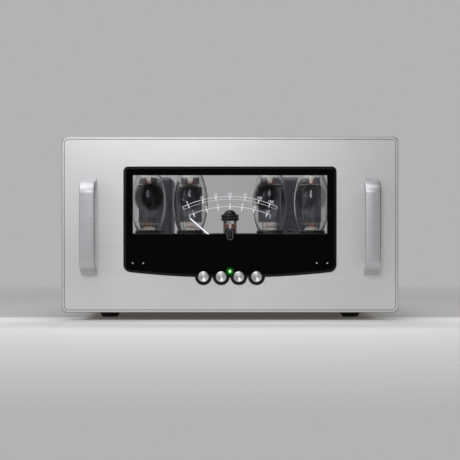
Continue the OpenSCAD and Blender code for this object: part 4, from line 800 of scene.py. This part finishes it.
class AMPLIFIER_OT_handles(bpy.types.Operator):
    """Bend the flat bar handles, round their edges and brush them"""

    bl_idname = "amplifier.handles"
    bl_label = "Handles"

    NODES = ("handle_left", "handle_right")
    # Thickness of the bar, outer radius of its bends, and lean of its legs in degrees
    THICK = 9 * MM
    BEND = 18 * MM
    LEAN = 12

    def execute(self, context):
        metal = handle_aluminium()
        for node in self.NODES:
            low, high = corners(node)
            mesh_data = bmesh.new()
            outline = [(low[0], PANEL_FRONT - out, middle(node)[2] + rise)
                       for out, rise in self.outline(PANEL_FRONT - low[1], (high[2] - low[2]) / 2)]
            face = mesh_data.faces.new([mesh_data.verts.new(corner) for corner in outline])
            extrude(mesh_data, [face], (high[0] - low[0], 0, 0))
            rims = [edge for edge in mesh_data.edges if edge.verts[0].co.x == edge.verts[1].co.x
                    and max(vert.co.y for vert in edge.verts) < PANEL_FRONT - sizes().handle_edge]
            soften_edges(mesh_data, rims, sizes().handle_edge, 3)
            piece(node + "_bar", mesh_data, [metal], ROOT, [node], crease=60)
        return {"FINISHED"}

    def outline(self, reach, half):
        """Side outline of a bent bar: distance out from the panel and height from the handle's middle."""
        lean, turn = radians(self.LEAN), 90 - self.LEAN
        out = reach - self.BEND
        rise = half - self.BEND * cos(lean) - (out + self.BEND * sin(lean)) * tan(lean)
        inner = self.BEND - self.THICK
        foot = half - self.THICK / cos(lean)
        outer_side = [(0, half)] + arc((out, rise), self.BEND, turn, 0, 20)
        outer_side += arc((out, -rise), self.BEND, 0, -turn, 20) + [(0, -half)]
        inner_side = [(0, -foot)] + arc((out, -rise), inner, -turn, 0, 12)
        inner_side += arc((out, rise), inner, 0, turn, 12) + [(0, foot)]
        return outer_side + inner_side


class AMPLIFIER_OT_buttons(bpy.types.Operator):
    """Turn the four push-buttons"""

    bl_idname = "amplifier.buttons"
    bl_label = "Push-buttons"

    NODES = ("power_button", "meter_button", "bias_button", "mode_button")
    RADIUS = 7.5 * MM
    # Radius and depth of the dished face, from its middle outward
    DISH = ((0, 0.5 * MM), (2.2 * MM, 0.35 * MM))
    # Collar that holds the button in, its two depths from the face, and the stem behind it
    COLLAR_RADIUS = 8.6 * MM
    COLLAR_FRONT = 9 * MM
    COLLAR_BACK = 10.6 * MM
    STEM_RADIUS = 1.75 * MM

    def execute(self, context):
        metal = turned_aluminium()
        edge = sizes().button_edge
        for node in self.NODES:
            low, high = corners(node)
            deep = high[1] - low[1]
            outline = [*self.DISH, (self.RADIUS - 2 * edge, 0.0)]
            outline += arc((self.RADIUS - edge, edge), edge, -90, 0, 6)
            outline += [(self.RADIUS, self.COLLAR_FRONT), (self.COLLAR_RADIUS, self.COLLAR_FRONT)]
            outline += [(self.COLLAR_RADIUS, self.COLLAR_BACK), (self.STEM_RADIUS, self.COLLAR_BACK)]
            outline += [(self.STEM_RADIUS, deep), (0, deep)]
            mesh_data = bmesh.new()
            centre = middle(node)
            lathe(mesh_data, outline, (centre[0], low[1], centre[2]), (0, 1, 0), 72)
            piece(node + "_cap", mesh_data, [metal], node, [node], crease=50)
        return {"FINISHED"}


class AMPLIFIER_OT_meter_scale(bpy.types.Operator):
    """Print the arcs, ticks and numbers on the dial pane"""

    bl_idname = "amplifier.meter_scale"
    bl_label = "Meter scale"

    INK = 0.06 * MM
    # Half span of each arc in degrees, length of its end marks and gap below its numbers
    UPPER = (25.4, 4.2 * MM, 1.6 * MM)
    LOWER = (24.1, 5.0 * MM, 1.4 * MM)
    # Marks at the numbers: width of the outer end, reach inside and outside the arc
    WEDGE = 2.0 * MM
    MARK_IN = 5.6 * MM
    MARK_OUT = 0.4 * MM
    # The upper arc's second line is thinner, and the numbers lean less than their marks.
    THIN = 0.6
    FIGURE_LEAN = 0.6
    # Each number with its angle from the middle in degrees
    UPPER_FIGURES = (
        ("5", -22.4), ("10", -14.5), ("25", -7.4), ("50", 0), ("75", 7.8), ("100", 15.2), ("150", 21.2))
    LOWER_FIGURES = (
        ("1", -21.4), ("2", -13.6), ("4", -6.9), ("6", 0), ("8", 6.9), ("10", 13.8), ("12", 21.8))

    def execute(self, context):
        ink_with_painted_light = white_ink("scale_white", strength=0.45)
        lines, numbers = bmesh.new(), bmesh.new()
        line = sizes().scale_line
        upper, lower = sizes().scale_upper, sizes().scale_lower
        self.strip(lines, upper - self.UPPER[1], line * self.THIN, self.UPPER[0])
        for radius, (span, deep, gap), figures in (
                (upper, self.UPPER, self.UPPER_FIGURES), (lower, self.LOWER, self.LOWER_FIGURES)):
            self.strip(lines, radius, line, span)
            for side in SIDES:
                self.tick(lines, radius - deep, radius, side * span, line)
            for text, angle in figures:
                self.tick(lines, radius - self.MARK_IN, radius + self.MARK_OUT, angle, self.WEDGE)
                self.figure(numbers, text, radius + gap, angle)
        piece("meter_scale_lines", lines, [ink_with_painted_light], ROOT)
        piece("meter_scale_numbers", numbers, [ink_with_painted_light], ROOT)
        return {"FINISHED"}

    def spot(self, radius, angle):
        """Place on the pane's front at a radius and an angle from the middle."""
        turn = radians(angle)
        return Vector((radius * sin(turn), DIAL_FRONT, sizes().scale_centre + radius * cos(turn)))

    def thicken(self, mesh_data, faces):
        """Raise flat ink off the pane's front."""
        extrude(mesh_data, faces, (0, -self.INK, 0))

    def strip(self, mesh_data, radius, width, half_angle):
        """Curved line at a radius."""
        ends = [mesh_data.verts.new(self.spot(radius + side * width / 2, -half_angle)) for side in SIDES]
        edge = mesh_data.edges.new(ends)
        before = set(mesh_data.faces)
        bmesh.ops.spin(mesh_data, geom=ends + [edge], cent=self.spot(0, 0), axis=(0, 1, 0),
                       angle=radians(2 * half_angle), steps=60)
        self.thicken(mesh_data, set(mesh_data.faces) - before)

    def tick(self, mesh_data, inner, outer, angle, width):
        """Mark that narrows towards the pivot."""
        lean = Matrix.Translation(self.spot(0, 0)) @ Matrix.Rotation(radians(angle), 4, "Y")
        narrow = sizes().scale_line / 2
        outline = ((-narrow, inner), (narrow, inner), (width / 2, outer), (-width / 2, outer))
        face = mesh_data.faces.new([mesh_data.verts.new(lean @ Vector((x, 0, z))) for x, z in outline])
        self.thicken(mesh_data, [face])

    def figure(self, mesh_data, text, radius, angle):
        """Number that stands on a radius."""
        letters = bpy.data.curves.new("figure", "FONT")
        letters.body = text
        letters.size = sizes().figure_height
        letters.align_x = "CENTER"
        holder = bpy.data.objects.new("figure", letters)
        flat = bpy.data.meshes.new_from_object(holder)
        upright = Matrix.Rotation(pi / 2, 4, "X")
        lean = Matrix.Rotation(radians(angle * self.FIGURE_LEAN), 4, "Y")
        flat.transform(Matrix.Translation(self.spot(radius, angle)) @ lean @ upright)
        before = set(mesh_data.faces)
        mesh_data.from_mesh(flat)
        self.thicken(mesh_data, set(mesh_data.faces) - before)
        bpy.data.objects.remove(holder)
        bpy.data.curves.remove(letters)
        bpy.data.meshes.remove(flat)


class AMPLIFIER_OT_power_valves(bpy.types.Operator):
    """Blow the glass and build the electrode cages of the four power valves"""

    bl_idname = "amplifier.power_valves"
    bl_label = "Power valves"

    # Each valve with the turn of its cage and of its getter flash in degrees, and the flash's strength
    VALVES = (
        ("power_tube_1", 40, 18, 0.75),
        ("power_tube_2", 0, 0, 0.45),
        ("power_tube_3", -12, -20, 0.75),
        ("power_tube_4", -40, -24, 0.3),
    )
    # Glass: heights above the floor, radius at the bulge, radius of the curved side, and thickness
    BASE_TOP = 129 * MM
    BULGE = 170 * MM
    SHOULDER = 213 * MM
    BULB_RADIUS = 26.25 * MM
    SIDE_RADIUS = 104 * MM
    WALL = 1.0 * MM
    # Getter flash: reach along each axis, right through the bulb along Y, and height of its middle
    FLASH = (18 * MM, 1.0, 22 * MM)
    FLASH_MIDDLE = 180 * MM
    # Material numbers of the cage
    METAL, MICA, WHITE, WIRE, HOT, RED, STEM = range(7)
    # Anode box: heights, half width and depth, cut corners, gap between the halves, side fins and ribs
    ANODE_LOW = 141 * MM
    ANODE_HIGH = 193.5 * MM
    ANODE_HALF = 14.5 * MM
    ANODE_DEEP = 8.5 * MM
    ANODE_CUT = 5 * MM
    ANODE_GAP = 0.4 * MM
    ANODE_EDGE = 0.8 * MM
    FIN_REACH = 3 * MM
    FIN_HALF = 0.9 * MM
    RIB_X = 5.5 * MM
    RIB = (1.1 * MM, 0.5 * MM)
    RIB_SHORT = 3 * MM
    RIB_EDGE = 0.4 * MM
    # Mica sheets at both ends, cut flat at the front and back
    MICAS = (138 * MM, 196.5 * MM)
    MICA_RADIUS = 17 * MM
    MICA_DEEP = 11.2 * MM
    MICA_THICK = 0.8 * MM
    # Plates on the upper mica: X of the middle, half sizes, height, material and rounding of edges
    PLATES = (
        (9 * MM, (4.5 * MM, 0.6 * MM), 10 * MM, METAL, 0.3 * MM),
        (13.2 * MM, (0.4 * MM, 2.2 * MM), 10 * MM, METAL, 0.2 * MM),
        (3.9 * MM, (0.5 * MM, 2.6 * MM), 6.5 * MM, RED, 0.25 * MM),
    )
    # White insulator between them and the red bridge across its front: half sizes, height and rounding
    INSULATOR = (3.1 * MM, 2.2 * MM)
    INSULATOR_TALL = 12 * MM
    INSULATOR_EDGE = 0.8 * MM
    BRIDGE = (4.4 * MM, 0.25 * MM)
    BRIDGE_Y = -2.35 * MM
    BRIDGE_TALL = 1.2 * MM
    BRIDGE_EDGE = 0.2 * MM
    # Getter ring: height, radius, and radii of its wire, its stalk and its cross-bar
    RING_HEIGHT = 214.5 * MM
    RING_RADIUS = 5 * MM
    RING_WIRE = 0.7 * MM
    STALK_WIRE = 0.6 * MM
    CROSS_WIRE = 0.5 * MM
    # Support, lead and heater wire on each side: X, radius, lower end, upper end and material
    WIRES = (
        (10.5 * MM, 0.8 * MM, BASE_TOP + 2 * MM, MICAS[1] + 2 * MM, WIRE),
        (5 * MM, 0.5 * MM, BASE_TOP + 3 * MM, ANODE_LOW, WIRE),
        (2.2 * MM, 0.4 * MM, BASE_TOP + 6 * MM, ANODE_LOW + 2 * MM, HOT),
    )
    # Pressed stem: radius and height above the base
    STEM_OUTLINE = (
        (0, 0), (11 * MM, 0), (9.5 * MM, 4 * MM), (5 * MM, 6 * MM), (0, 6.5 * MM))

    def execute(self, context):
        materials = [
            carbonised_nickel(),
            mica_sheet(),
            fired_ceramic("white_insulator", linear("#f6f4ee")),
            plated("nickel_wire", linear("#b9b4ac"), roughness=0.25),
            lit("hot_cathode", colours().glow, strength=0.5),
            lit("hot_grid", linear("#b03a26"), strength=0.3),
            pressed_glass(),
        ]
        for node, turn, flash_turn, strength in self.VALVES:
            x, y, _ = middle(node + "_bulb")
            glass = blown_glass(node + "_blown_glass", (x, y, self.FLASH_MIDDLE), flash_turn, self.FLASH,
                                smoke=linear("#2c2c30"), strength=strength, coat=0.0)
            self.bulb(node, x, y, glass)
            self.cage(node, x, y, turn, materials)
        phenolic = moulded("phenolic", linear("#17171a"), roughness=0.25, grain=1.2 * MM, depth=0.02 * MM)
        dress(phenolic, *[valve[0] + "_base" for valve in self.VALVES])
        dress(fired_ceramic("socket_ceramic", linear("#d9d4c8")), "tube_sockets")
        return {"FINISHED"}

    def outline(self, inward):
        """Half outline of the bulb from its base to the top of its dome, moved inward."""
        lean = asin((self.SHOULDER - self.BULGE) / self.SIDE_RADIUS)
        side_middle = (self.BULB_RADIUS - self.SIDE_RADIUS, self.BULGE)
        dome = self.SIDE_RADIUS + side_middle[0] / cos(lean)
        dome_middle = (0, self.SHOULDER - dome * sin(lean))
        low = degrees(asin((self.BASE_TOP - self.BULGE) / self.SIDE_RADIUS))
        side = arc(side_middle, self.SIDE_RADIUS - inward, low, degrees(lean), 36)
        crown = arc(dome_middle, dome - inward, degrees(lean), 90, 18)
        return side + crown[1:]

    def bulb(self, node, x, y, glass):
        """Hollow glass bulb."""
        mesh_data = bmesh.new()
        outer, inner = self.outline(0), self.outline(self.WALL)
        lathe(mesh_data, outer + inner[::-1] + outer[:1], (x, y, 0), steps=96)
        piece(node + "_glass", mesh_data, [glass], ROOT, [node + "_bulb"])

    def cage(self, node, x, y, turn, materials):
        """Electrode cage, built round the Z axis, then turned and moved to its valve."""
        mesh_data = bmesh.new()
        self.anode(mesh_data)
        # A round outline stops a step short of the full turn, so that no point comes twice.
        round_sheet = arc((0, 0), self.MICA_RADIUS, 0, 352, 44)
        sheet = [(across, deep) for across, deep in round_sheet if abs(deep) <= self.MICA_DEEP]
        for height in self.MICAS:
            prism(mesh_data, sheet, height, height + self.MICA_THICK, self.MICA)
        self.wires(mesh_data)
        self.upper_parts(mesh_data)
        stem = [(radius, self.BASE_TOP + height) for radius, height in self.STEM_OUTLINE]
        lathe(mesh_data, stem, (0, 0, 0), steps=40, index=self.STEM)
        place = Matrix.Translation((x, y, 0)) @ Matrix.Rotation(radians(turn), 4, "Z")
        bmesh.ops.transform(mesh_data, matrix=place, verts=mesh_data.verts)
        piece(node + "_cage", mesh_data, materials, ROOT, [node + "_electrodes"])

    def anode(self, mesh_data):
        """Two half shells with cut corners, a fin at each side and pressed ribs."""
        half, deep, cut, gap = self.ANODE_HALF, self.ANODE_DEEP, self.ANODE_CUT, self.ANODE_GAP
        fin, thin = half + self.FIN_REACH, self.FIN_HALF
        near = [(gap, -deep), (half - cut, -deep), (half, cut - deep), (half, -thin), (fin, -thin)]
        far = [(x, -y) for x, y in reversed(near)]
        for side in SIDES:
            shell = [(side * x, y) for x, y in near + far]
            prism(mesh_data, shell, self.ANODE_LOW, self.ANODE_HIGH, self.METAL, self.ANODE_EDGE)
            for face in SIDES:
                upright_plate(mesh_data, (side * self.RIB_X, face * deep), self.RIB,
                              self.ANODE_LOW + self.RIB_SHORT, self.ANODE_HIGH - self.RIB_SHORT,
                              self.METAL, self.RIB_EDGE)

    def wires(self, mesh_data):
        """Supports, leads and glowing heater wires between the base and the cage."""
        for side in SIDES:
            for x, radius, low, high, index in self.WIRES:
                upright_wire(mesh_data, side * x, low, high, radius, index)

    def upper_parts(self, mesh_data):
        """Plates, insulator and glowing grid on the upper mica, and the getter ring above them."""
        top = self.MICAS[1] + self.MICA_THICK
        for side in SIDES:
            for x, half, tall, index, soften in self.PLATES:
                upright_plate(mesh_data, (side * x, 0), half, top, top + tall, index, soften)
        upright_plate(mesh_data, (0, 0), self.INSULATOR, top, top + self.INSULATOR_TALL,
                      self.WHITE, self.INSULATOR_EDGE)
        upright_plate(mesh_data, (0, self.BRIDGE_Y), self.BRIDGE, top, top + self.BRIDGE_TALL,
                      self.RED, self.BRIDGE_EDGE)
        ring, height = self.RING_RADIUS, self.RING_HEIGHT
        upright_wire(mesh_data, 0, top, height, self.STALK_WIRE, self.WIRE)
        hoop(mesh_data, (0, 0, height), ring, self.RING_WIRE, self.WIRE)
        rod(mesh_data, (-ring, 0, height), (ring, 0, height), self.CROSS_WIRE, self.WIRE)


class AMPLIFIER_OT_driver_valve(bpy.types.Operator):
    """Build the small driver valve with its damper rings"""

    bl_idname = "amplifier.driver_valve"
    bl_label = "Driver valve"

    # Glass: radius, rounding of its foot, and the pinched tip on its dome
    RADIUS = 10 * MM
    FOOT_EDGE = 1 * MM
    DOME_ANGLE = 72
    TIP_TALL = 1 * MM
    TIP_FOOT = (1.6 * MM, -0.2 * MM)
    TIP_RADIUS = 0.7 * MM
    FLASH = (14 * MM, 14 * MM, 12 * MM)
    # Material numbers of the cage
    METAL, MICA, WIRE, HOT, SLEEVE = range(5)
    # Cage: height above the glass's foot, distance between its micas, and the micas
    CAGE_LOW = 12 * MM
    CAGE_TALL = 24 * MM
    MICA_RADIUS = 8.5 * MM
    MICA_THICK = 0.6 * MM
    # Anodes: X of each, radius, half sizes of the flat fin, and distance from the lower and upper mica
    ANODE_X = 3.4 * MM
    ANODE_RADIUS = 2.7 * MM
    FIN = (0.3 * MM, 3.6 * MM)
    ANODE_ABOVE = 3 * MM
    ANODE_BELOW = 6 * MM
    # Heater, cathode sleeve, supports and getter ring
    HEATER_BELOW = 4 * MM
    HEATER_RADIUS = 0.9 * MM
    SLEEVE_RADIUS = 2.1 * MM
    SUPPORT_X = 6.3 * MM
    SUPPORT_RADIUS = 0.5 * MM
    SUPPORT_INSIDE = 2 * MM
    SUPPORT_ABOVE = 1 * MM
    RING_ABOVE = 5 * MM
    RING_RADIUS = 3.6 * MM
    RING_WIRE = 0.5 * MM
    STALK_WIRE = 0.4 * MM
    # Pins: nine of ten even places on a circle, from below the glass's foot to inside it
    PINS = range(1, 10)
    PIN_STEP = 36
    PIN_CIRCLE = 5.95 * MM
    PIN_RADIUS = 0.5 * MM
    PIN_BELOW = 7 * MM
    PIN_INSIDE = 3 * MM
    # Damper rings: bore, radius of the flat rims, half height, and the round bead between the rims
    DAMPER_BORE = 10.05 * MM
    DAMPER_RIM = 12.3 * MM
    DAMPER_HALF = 2.35 * MM
    BEAD_MIDDLE = 12.0 * MM
    BEAD_RADIUS = 1.5 * MM
    BEAD_ANGLE = 75

    def execute(self, context):
        low, high = (corner[2] for corner in corners("driver_bulb"))
        x, y, _ = middle("driver_bulb")
        glass = blown_glass("driver_blown_glass", (x, y, high), 0, self.FLASH,
                            smoke=linear("#1a1a1e"), strength=0.95, coat=1.0)
        mesh_data = bmesh.new()
        shoulder = high - self.TIP_TALL - self.RADIUS
        tip_radius, tip_drop = self.TIP_FOOT
        outline = [(0, low), (self.RADIUS - self.FOOT_EDGE, low), (self.RADIUS, low + self.FOOT_EDGE)]
        outline += arc((0, shoulder), self.RADIUS, 0, self.DOME_ANGLE, 14)
        outline += [(tip_radius, shoulder + self.RADIUS + tip_drop), (self.TIP_RADIUS, high), (0, high)]
        lathe(mesh_data, outline, (x, y, 0), steps=64)
        piece("driver_valve_glass", mesh_data, [glass], ROOT, ["driver_bulb"])
        self.cage((x, y, 0), low)
        self.dampers((x, y, 0))
        return {"FINISHED"}

    def cage(self, place, low):
        """Twin-triode cage, built round the Z axis, then moved to its valve."""
        mesh_data = bmesh.new()
        foot = low + self.CAGE_LOW
        top = foot + self.CAGE_TALL
        sheet = arc((0, 0), self.MICA_RADIUS, 0, 350, 36)
        for height in (foot, top):
            prism(mesh_data, sheet, height, height + self.MICA_THICK, self.MICA)
        anode_low, anode_high = foot + self.ANODE_ABOVE, top - self.ANODE_BELOW
        for side in SIDES:
            x = side * self.ANODE_X
            prism(mesh_data, arc((x, 0), self.ANODE_RADIUS, 0, 345, 24), anode_low, anode_high, self.METAL)
            upright_plate(mesh_data, (x, 0), self.FIN, anode_low, anode_high, self.METAL)
            upright_wire(mesh_data, x, foot - self.HEATER_BELOW, anode_low, self.HEATER_RADIUS, self.HOT)
            upright_wire(mesh_data, x, anode_high, top, self.SLEEVE_RADIUS, self.SLEEVE)
            upright_wire(mesh_data, side * self.SUPPORT_X, low + self.SUPPORT_INSIDE,
                         top + self.SUPPORT_ABOVE, self.SUPPORT_RADIUS, self.WIRE)
        ring = top + self.RING_ABOVE
        upright_wire(mesh_data, 0, top, ring, self.STALK_WIRE, self.WIRE)
        hoop(mesh_data, (0, 0, ring), self.RING_RADIUS, self.RING_WIRE, self.WIRE)
        for pin in self.PINS:
            angle = radians(self.PIN_STEP * pin)
            x, y = self.PIN_CIRCLE * cos(angle), self.PIN_CIRCLE * sin(angle)
            rod(mesh_data, (x, y, low - self.PIN_BELOW), (x, y, low + self.PIN_INSIDE), self.PIN_RADIUS,
                self.WIRE, 10)
        bmesh.ops.translate(mesh_data, verts=mesh_data.verts, vec=place)
        materials = [
            carbonised_nickel(),
            mica_sheet(),
            plated("driver_wire", linear("#b9b4ac"), roughness=0.25),
            lit("driver_heater", colours().glow, strength=3.0),
            lit("cathode_sleeve", linear("#a65a42"), strength=0.22),
        ]
        piece("driver_valve_cage", mesh_data, materials, ROOT, ["driver_electrodes"])

    def dampers(self, place):
        """Two silicone rings round the glass, each with a round bead."""
        low, high = (corner[2] for corner in corners("driver_dampers"))
        mesh_data = bmesh.new()
        for share in (0.25, 0.75):
            mid = low + (high - low) * share
            foot, top = mid - self.DAMPER_HALF, mid + self.DAMPER_HALF
            outline = [(self.DAMPER_BORE, foot), (self.DAMPER_RIM, foot)]
            outline += arc((self.BEAD_MIDDLE, mid), self.BEAD_RADIUS, -self.BEAD_ANGLE, self.BEAD_ANGLE, 10)
            outline += [(self.DAMPER_RIM, top), (self.DAMPER_BORE, top), (self.DAMPER_BORE, foot)]
            lathe(mesh_data, outline, place, steps=72)
        silicone = moulded("damper_silicone", linear("#1a1a1e"), roughness=0.4, grain=0.6 * MM,
                           depth=0.02 * MM)
        piece("driver_valve_dampers", mesh_data, [silicone], ROOT, ["driver_dampers"])


class AMPLIFIER_OT_chassis(bpy.types.Operator):
    """Finish the chassis, transformers, capacitors, feet and screws"""

    bl_idname = "amplifier.chassis"
    bl_label = "Chassis and transformers"

    def execute(self, context):
        coat = painted_steel("chassis_powder_coat", colours().chassis, roughness=0.48, peel_size=0.8 * MM,
                             depth=0.12 * MM, edge=0.5 * MM, mottle=0.15)
        dress(coat, "chassis_tray", "deck", "rear_panel")
        # The peel of the satin paint is about 1 mm across; it is drawn 4 mm wide so that it shows.
        satin = painted_steel("cover_satin_paint", colours().cover, roughness=0.38, peel_size=4 * MM,
                              depth=0.2 * MM, edge=1.2 * MM, mottle=0.34)
        dress(satin, "power_transformer_cover", "output_transformer_cover")
        dress(varnished_laminations(), "power_transformer_core", "output_transformer_core")
        sleeve = moulded("capacitor_sleeve", linear("#1b2440"), roughness=0.22, grain=2 * MM, depth=0.03 * MM)
        dress(sleeve, "filter_capacitors")
        rubber = moulded("foot_rubber", linear("#1d1d1f"), roughness=0.7, grain=0.3 * MM, depth=0.1 * MM)
        dress(rubber, "feet")
        dress(plated("black_zinc", linear("#2a2a2e"), roughness=0.3),
              "window_screws", "handle_screws", "chassis_screws", "transformer_screws")
        return {"FINISHED"}


class AMPLIFIER_OT_connectors(bpy.types.Operator):
    """Finish the rear sockets, posts and switch"""

    bl_idname = "amplifier.connectors"
    bl_label = "Rear connectors"

    POSTS = (1, 2, 3, 4)

    def execute(self, context):
        gold = plated("gold_plate", linear("#e2bd6a"), roughness=0.16)
        dress(gold, "binding_posts", "rca_input", *[f"post_washer_{post}" for post in self.POSTS])
        cap = moulded("post_cap_plastic", linear("#1a1a1d"), roughness=0.28, grain=1 * MM, depth=0.02 * MM)
        dress(cap, *[f"post_cap_{post}" for post in self.POSTS])
        plastic = moulded("socket_plastic", linear("#1b1b1e"), roughness=0.42, grain=0.4 * MM,
                          depth=0.04 * MM)
        dress(plastic, "mains_inlet", "fuse_holder", "xlr_input")
        dress(plated("bright_nickel", linear("#d9d9dc"), roughness=0.12), "toggle_switch", "toggle_lever")
        return {"FINISHED"}


class AMPLIFIER_PT_pieces(bpy.types.Panel):
    """Lists the amplifier's pieces, sizes and colours"""

    bl_idname = "AMPLIFIER_PT_pieces"
    bl_label = "Valve power amplifier"
    bl_space_type = "VIEW_3D"
    bl_region_type = "UI"
    bl_category = "Amplifier"

    def draw(self, context):
        for operator in OPERATORS:
            self.layout.operator(operator.bl_idname)
        for group in (sizes(), colours()):
            for name in group.__annotations__:
                self.layout.prop(group, name)


OPERATORS = (
    AMPLIFIER_OT_stage,
    AMPLIFIER_OT_front,
    AMPLIFIER_OT_handles,
    AMPLIFIER_OT_buttons,
    AMPLIFIER_OT_meter_scale,
    AMPLIFIER_OT_power_valves,
    AMPLIFIER_OT_driver_valve,
    AMPLIFIER_OT_chassis,
    AMPLIFIER_OT_connectors,
)
CLASSES = (AmplifierSizes, AmplifierColours, *OPERATORS, AMPLIFIER_PT_pieces)


def register():
    """Add the classes and the scene's settings."""
    for item in CLASSES:
        bpy.utils.register_class(item)
    bpy.types.Scene.amplifier_sizes = PointerProperty(type=AmplifierSizes)
    bpy.types.Scene.amplifier_colours = PointerProperty(type=AmplifierColours)


def unregister():
    """Take the settings and the classes away again."""
    del bpy.types.Scene.amplifier_colours
    del bpy.types.Scene.amplifier_sizes
    for item in reversed(CLASSES):
        bpy.utils.unregister_class(item)


def main():
    """Build every piece in order."""
    register()
    bpy.ops.amplifier.stage()
    bpy.ops.amplifier.front()
    bpy.ops.amplifier.handles()
    bpy.ops.amplifier.buttons()
    bpy.ops.amplifier.meter_scale()
    bpy.ops.amplifier.power_valves()
    bpy.ops.amplifier.driver_valve()
    bpy.ops.amplifier.chassis()
    bpy.ops.amplifier.connectors()


if __name__ == "__main__":
    main()
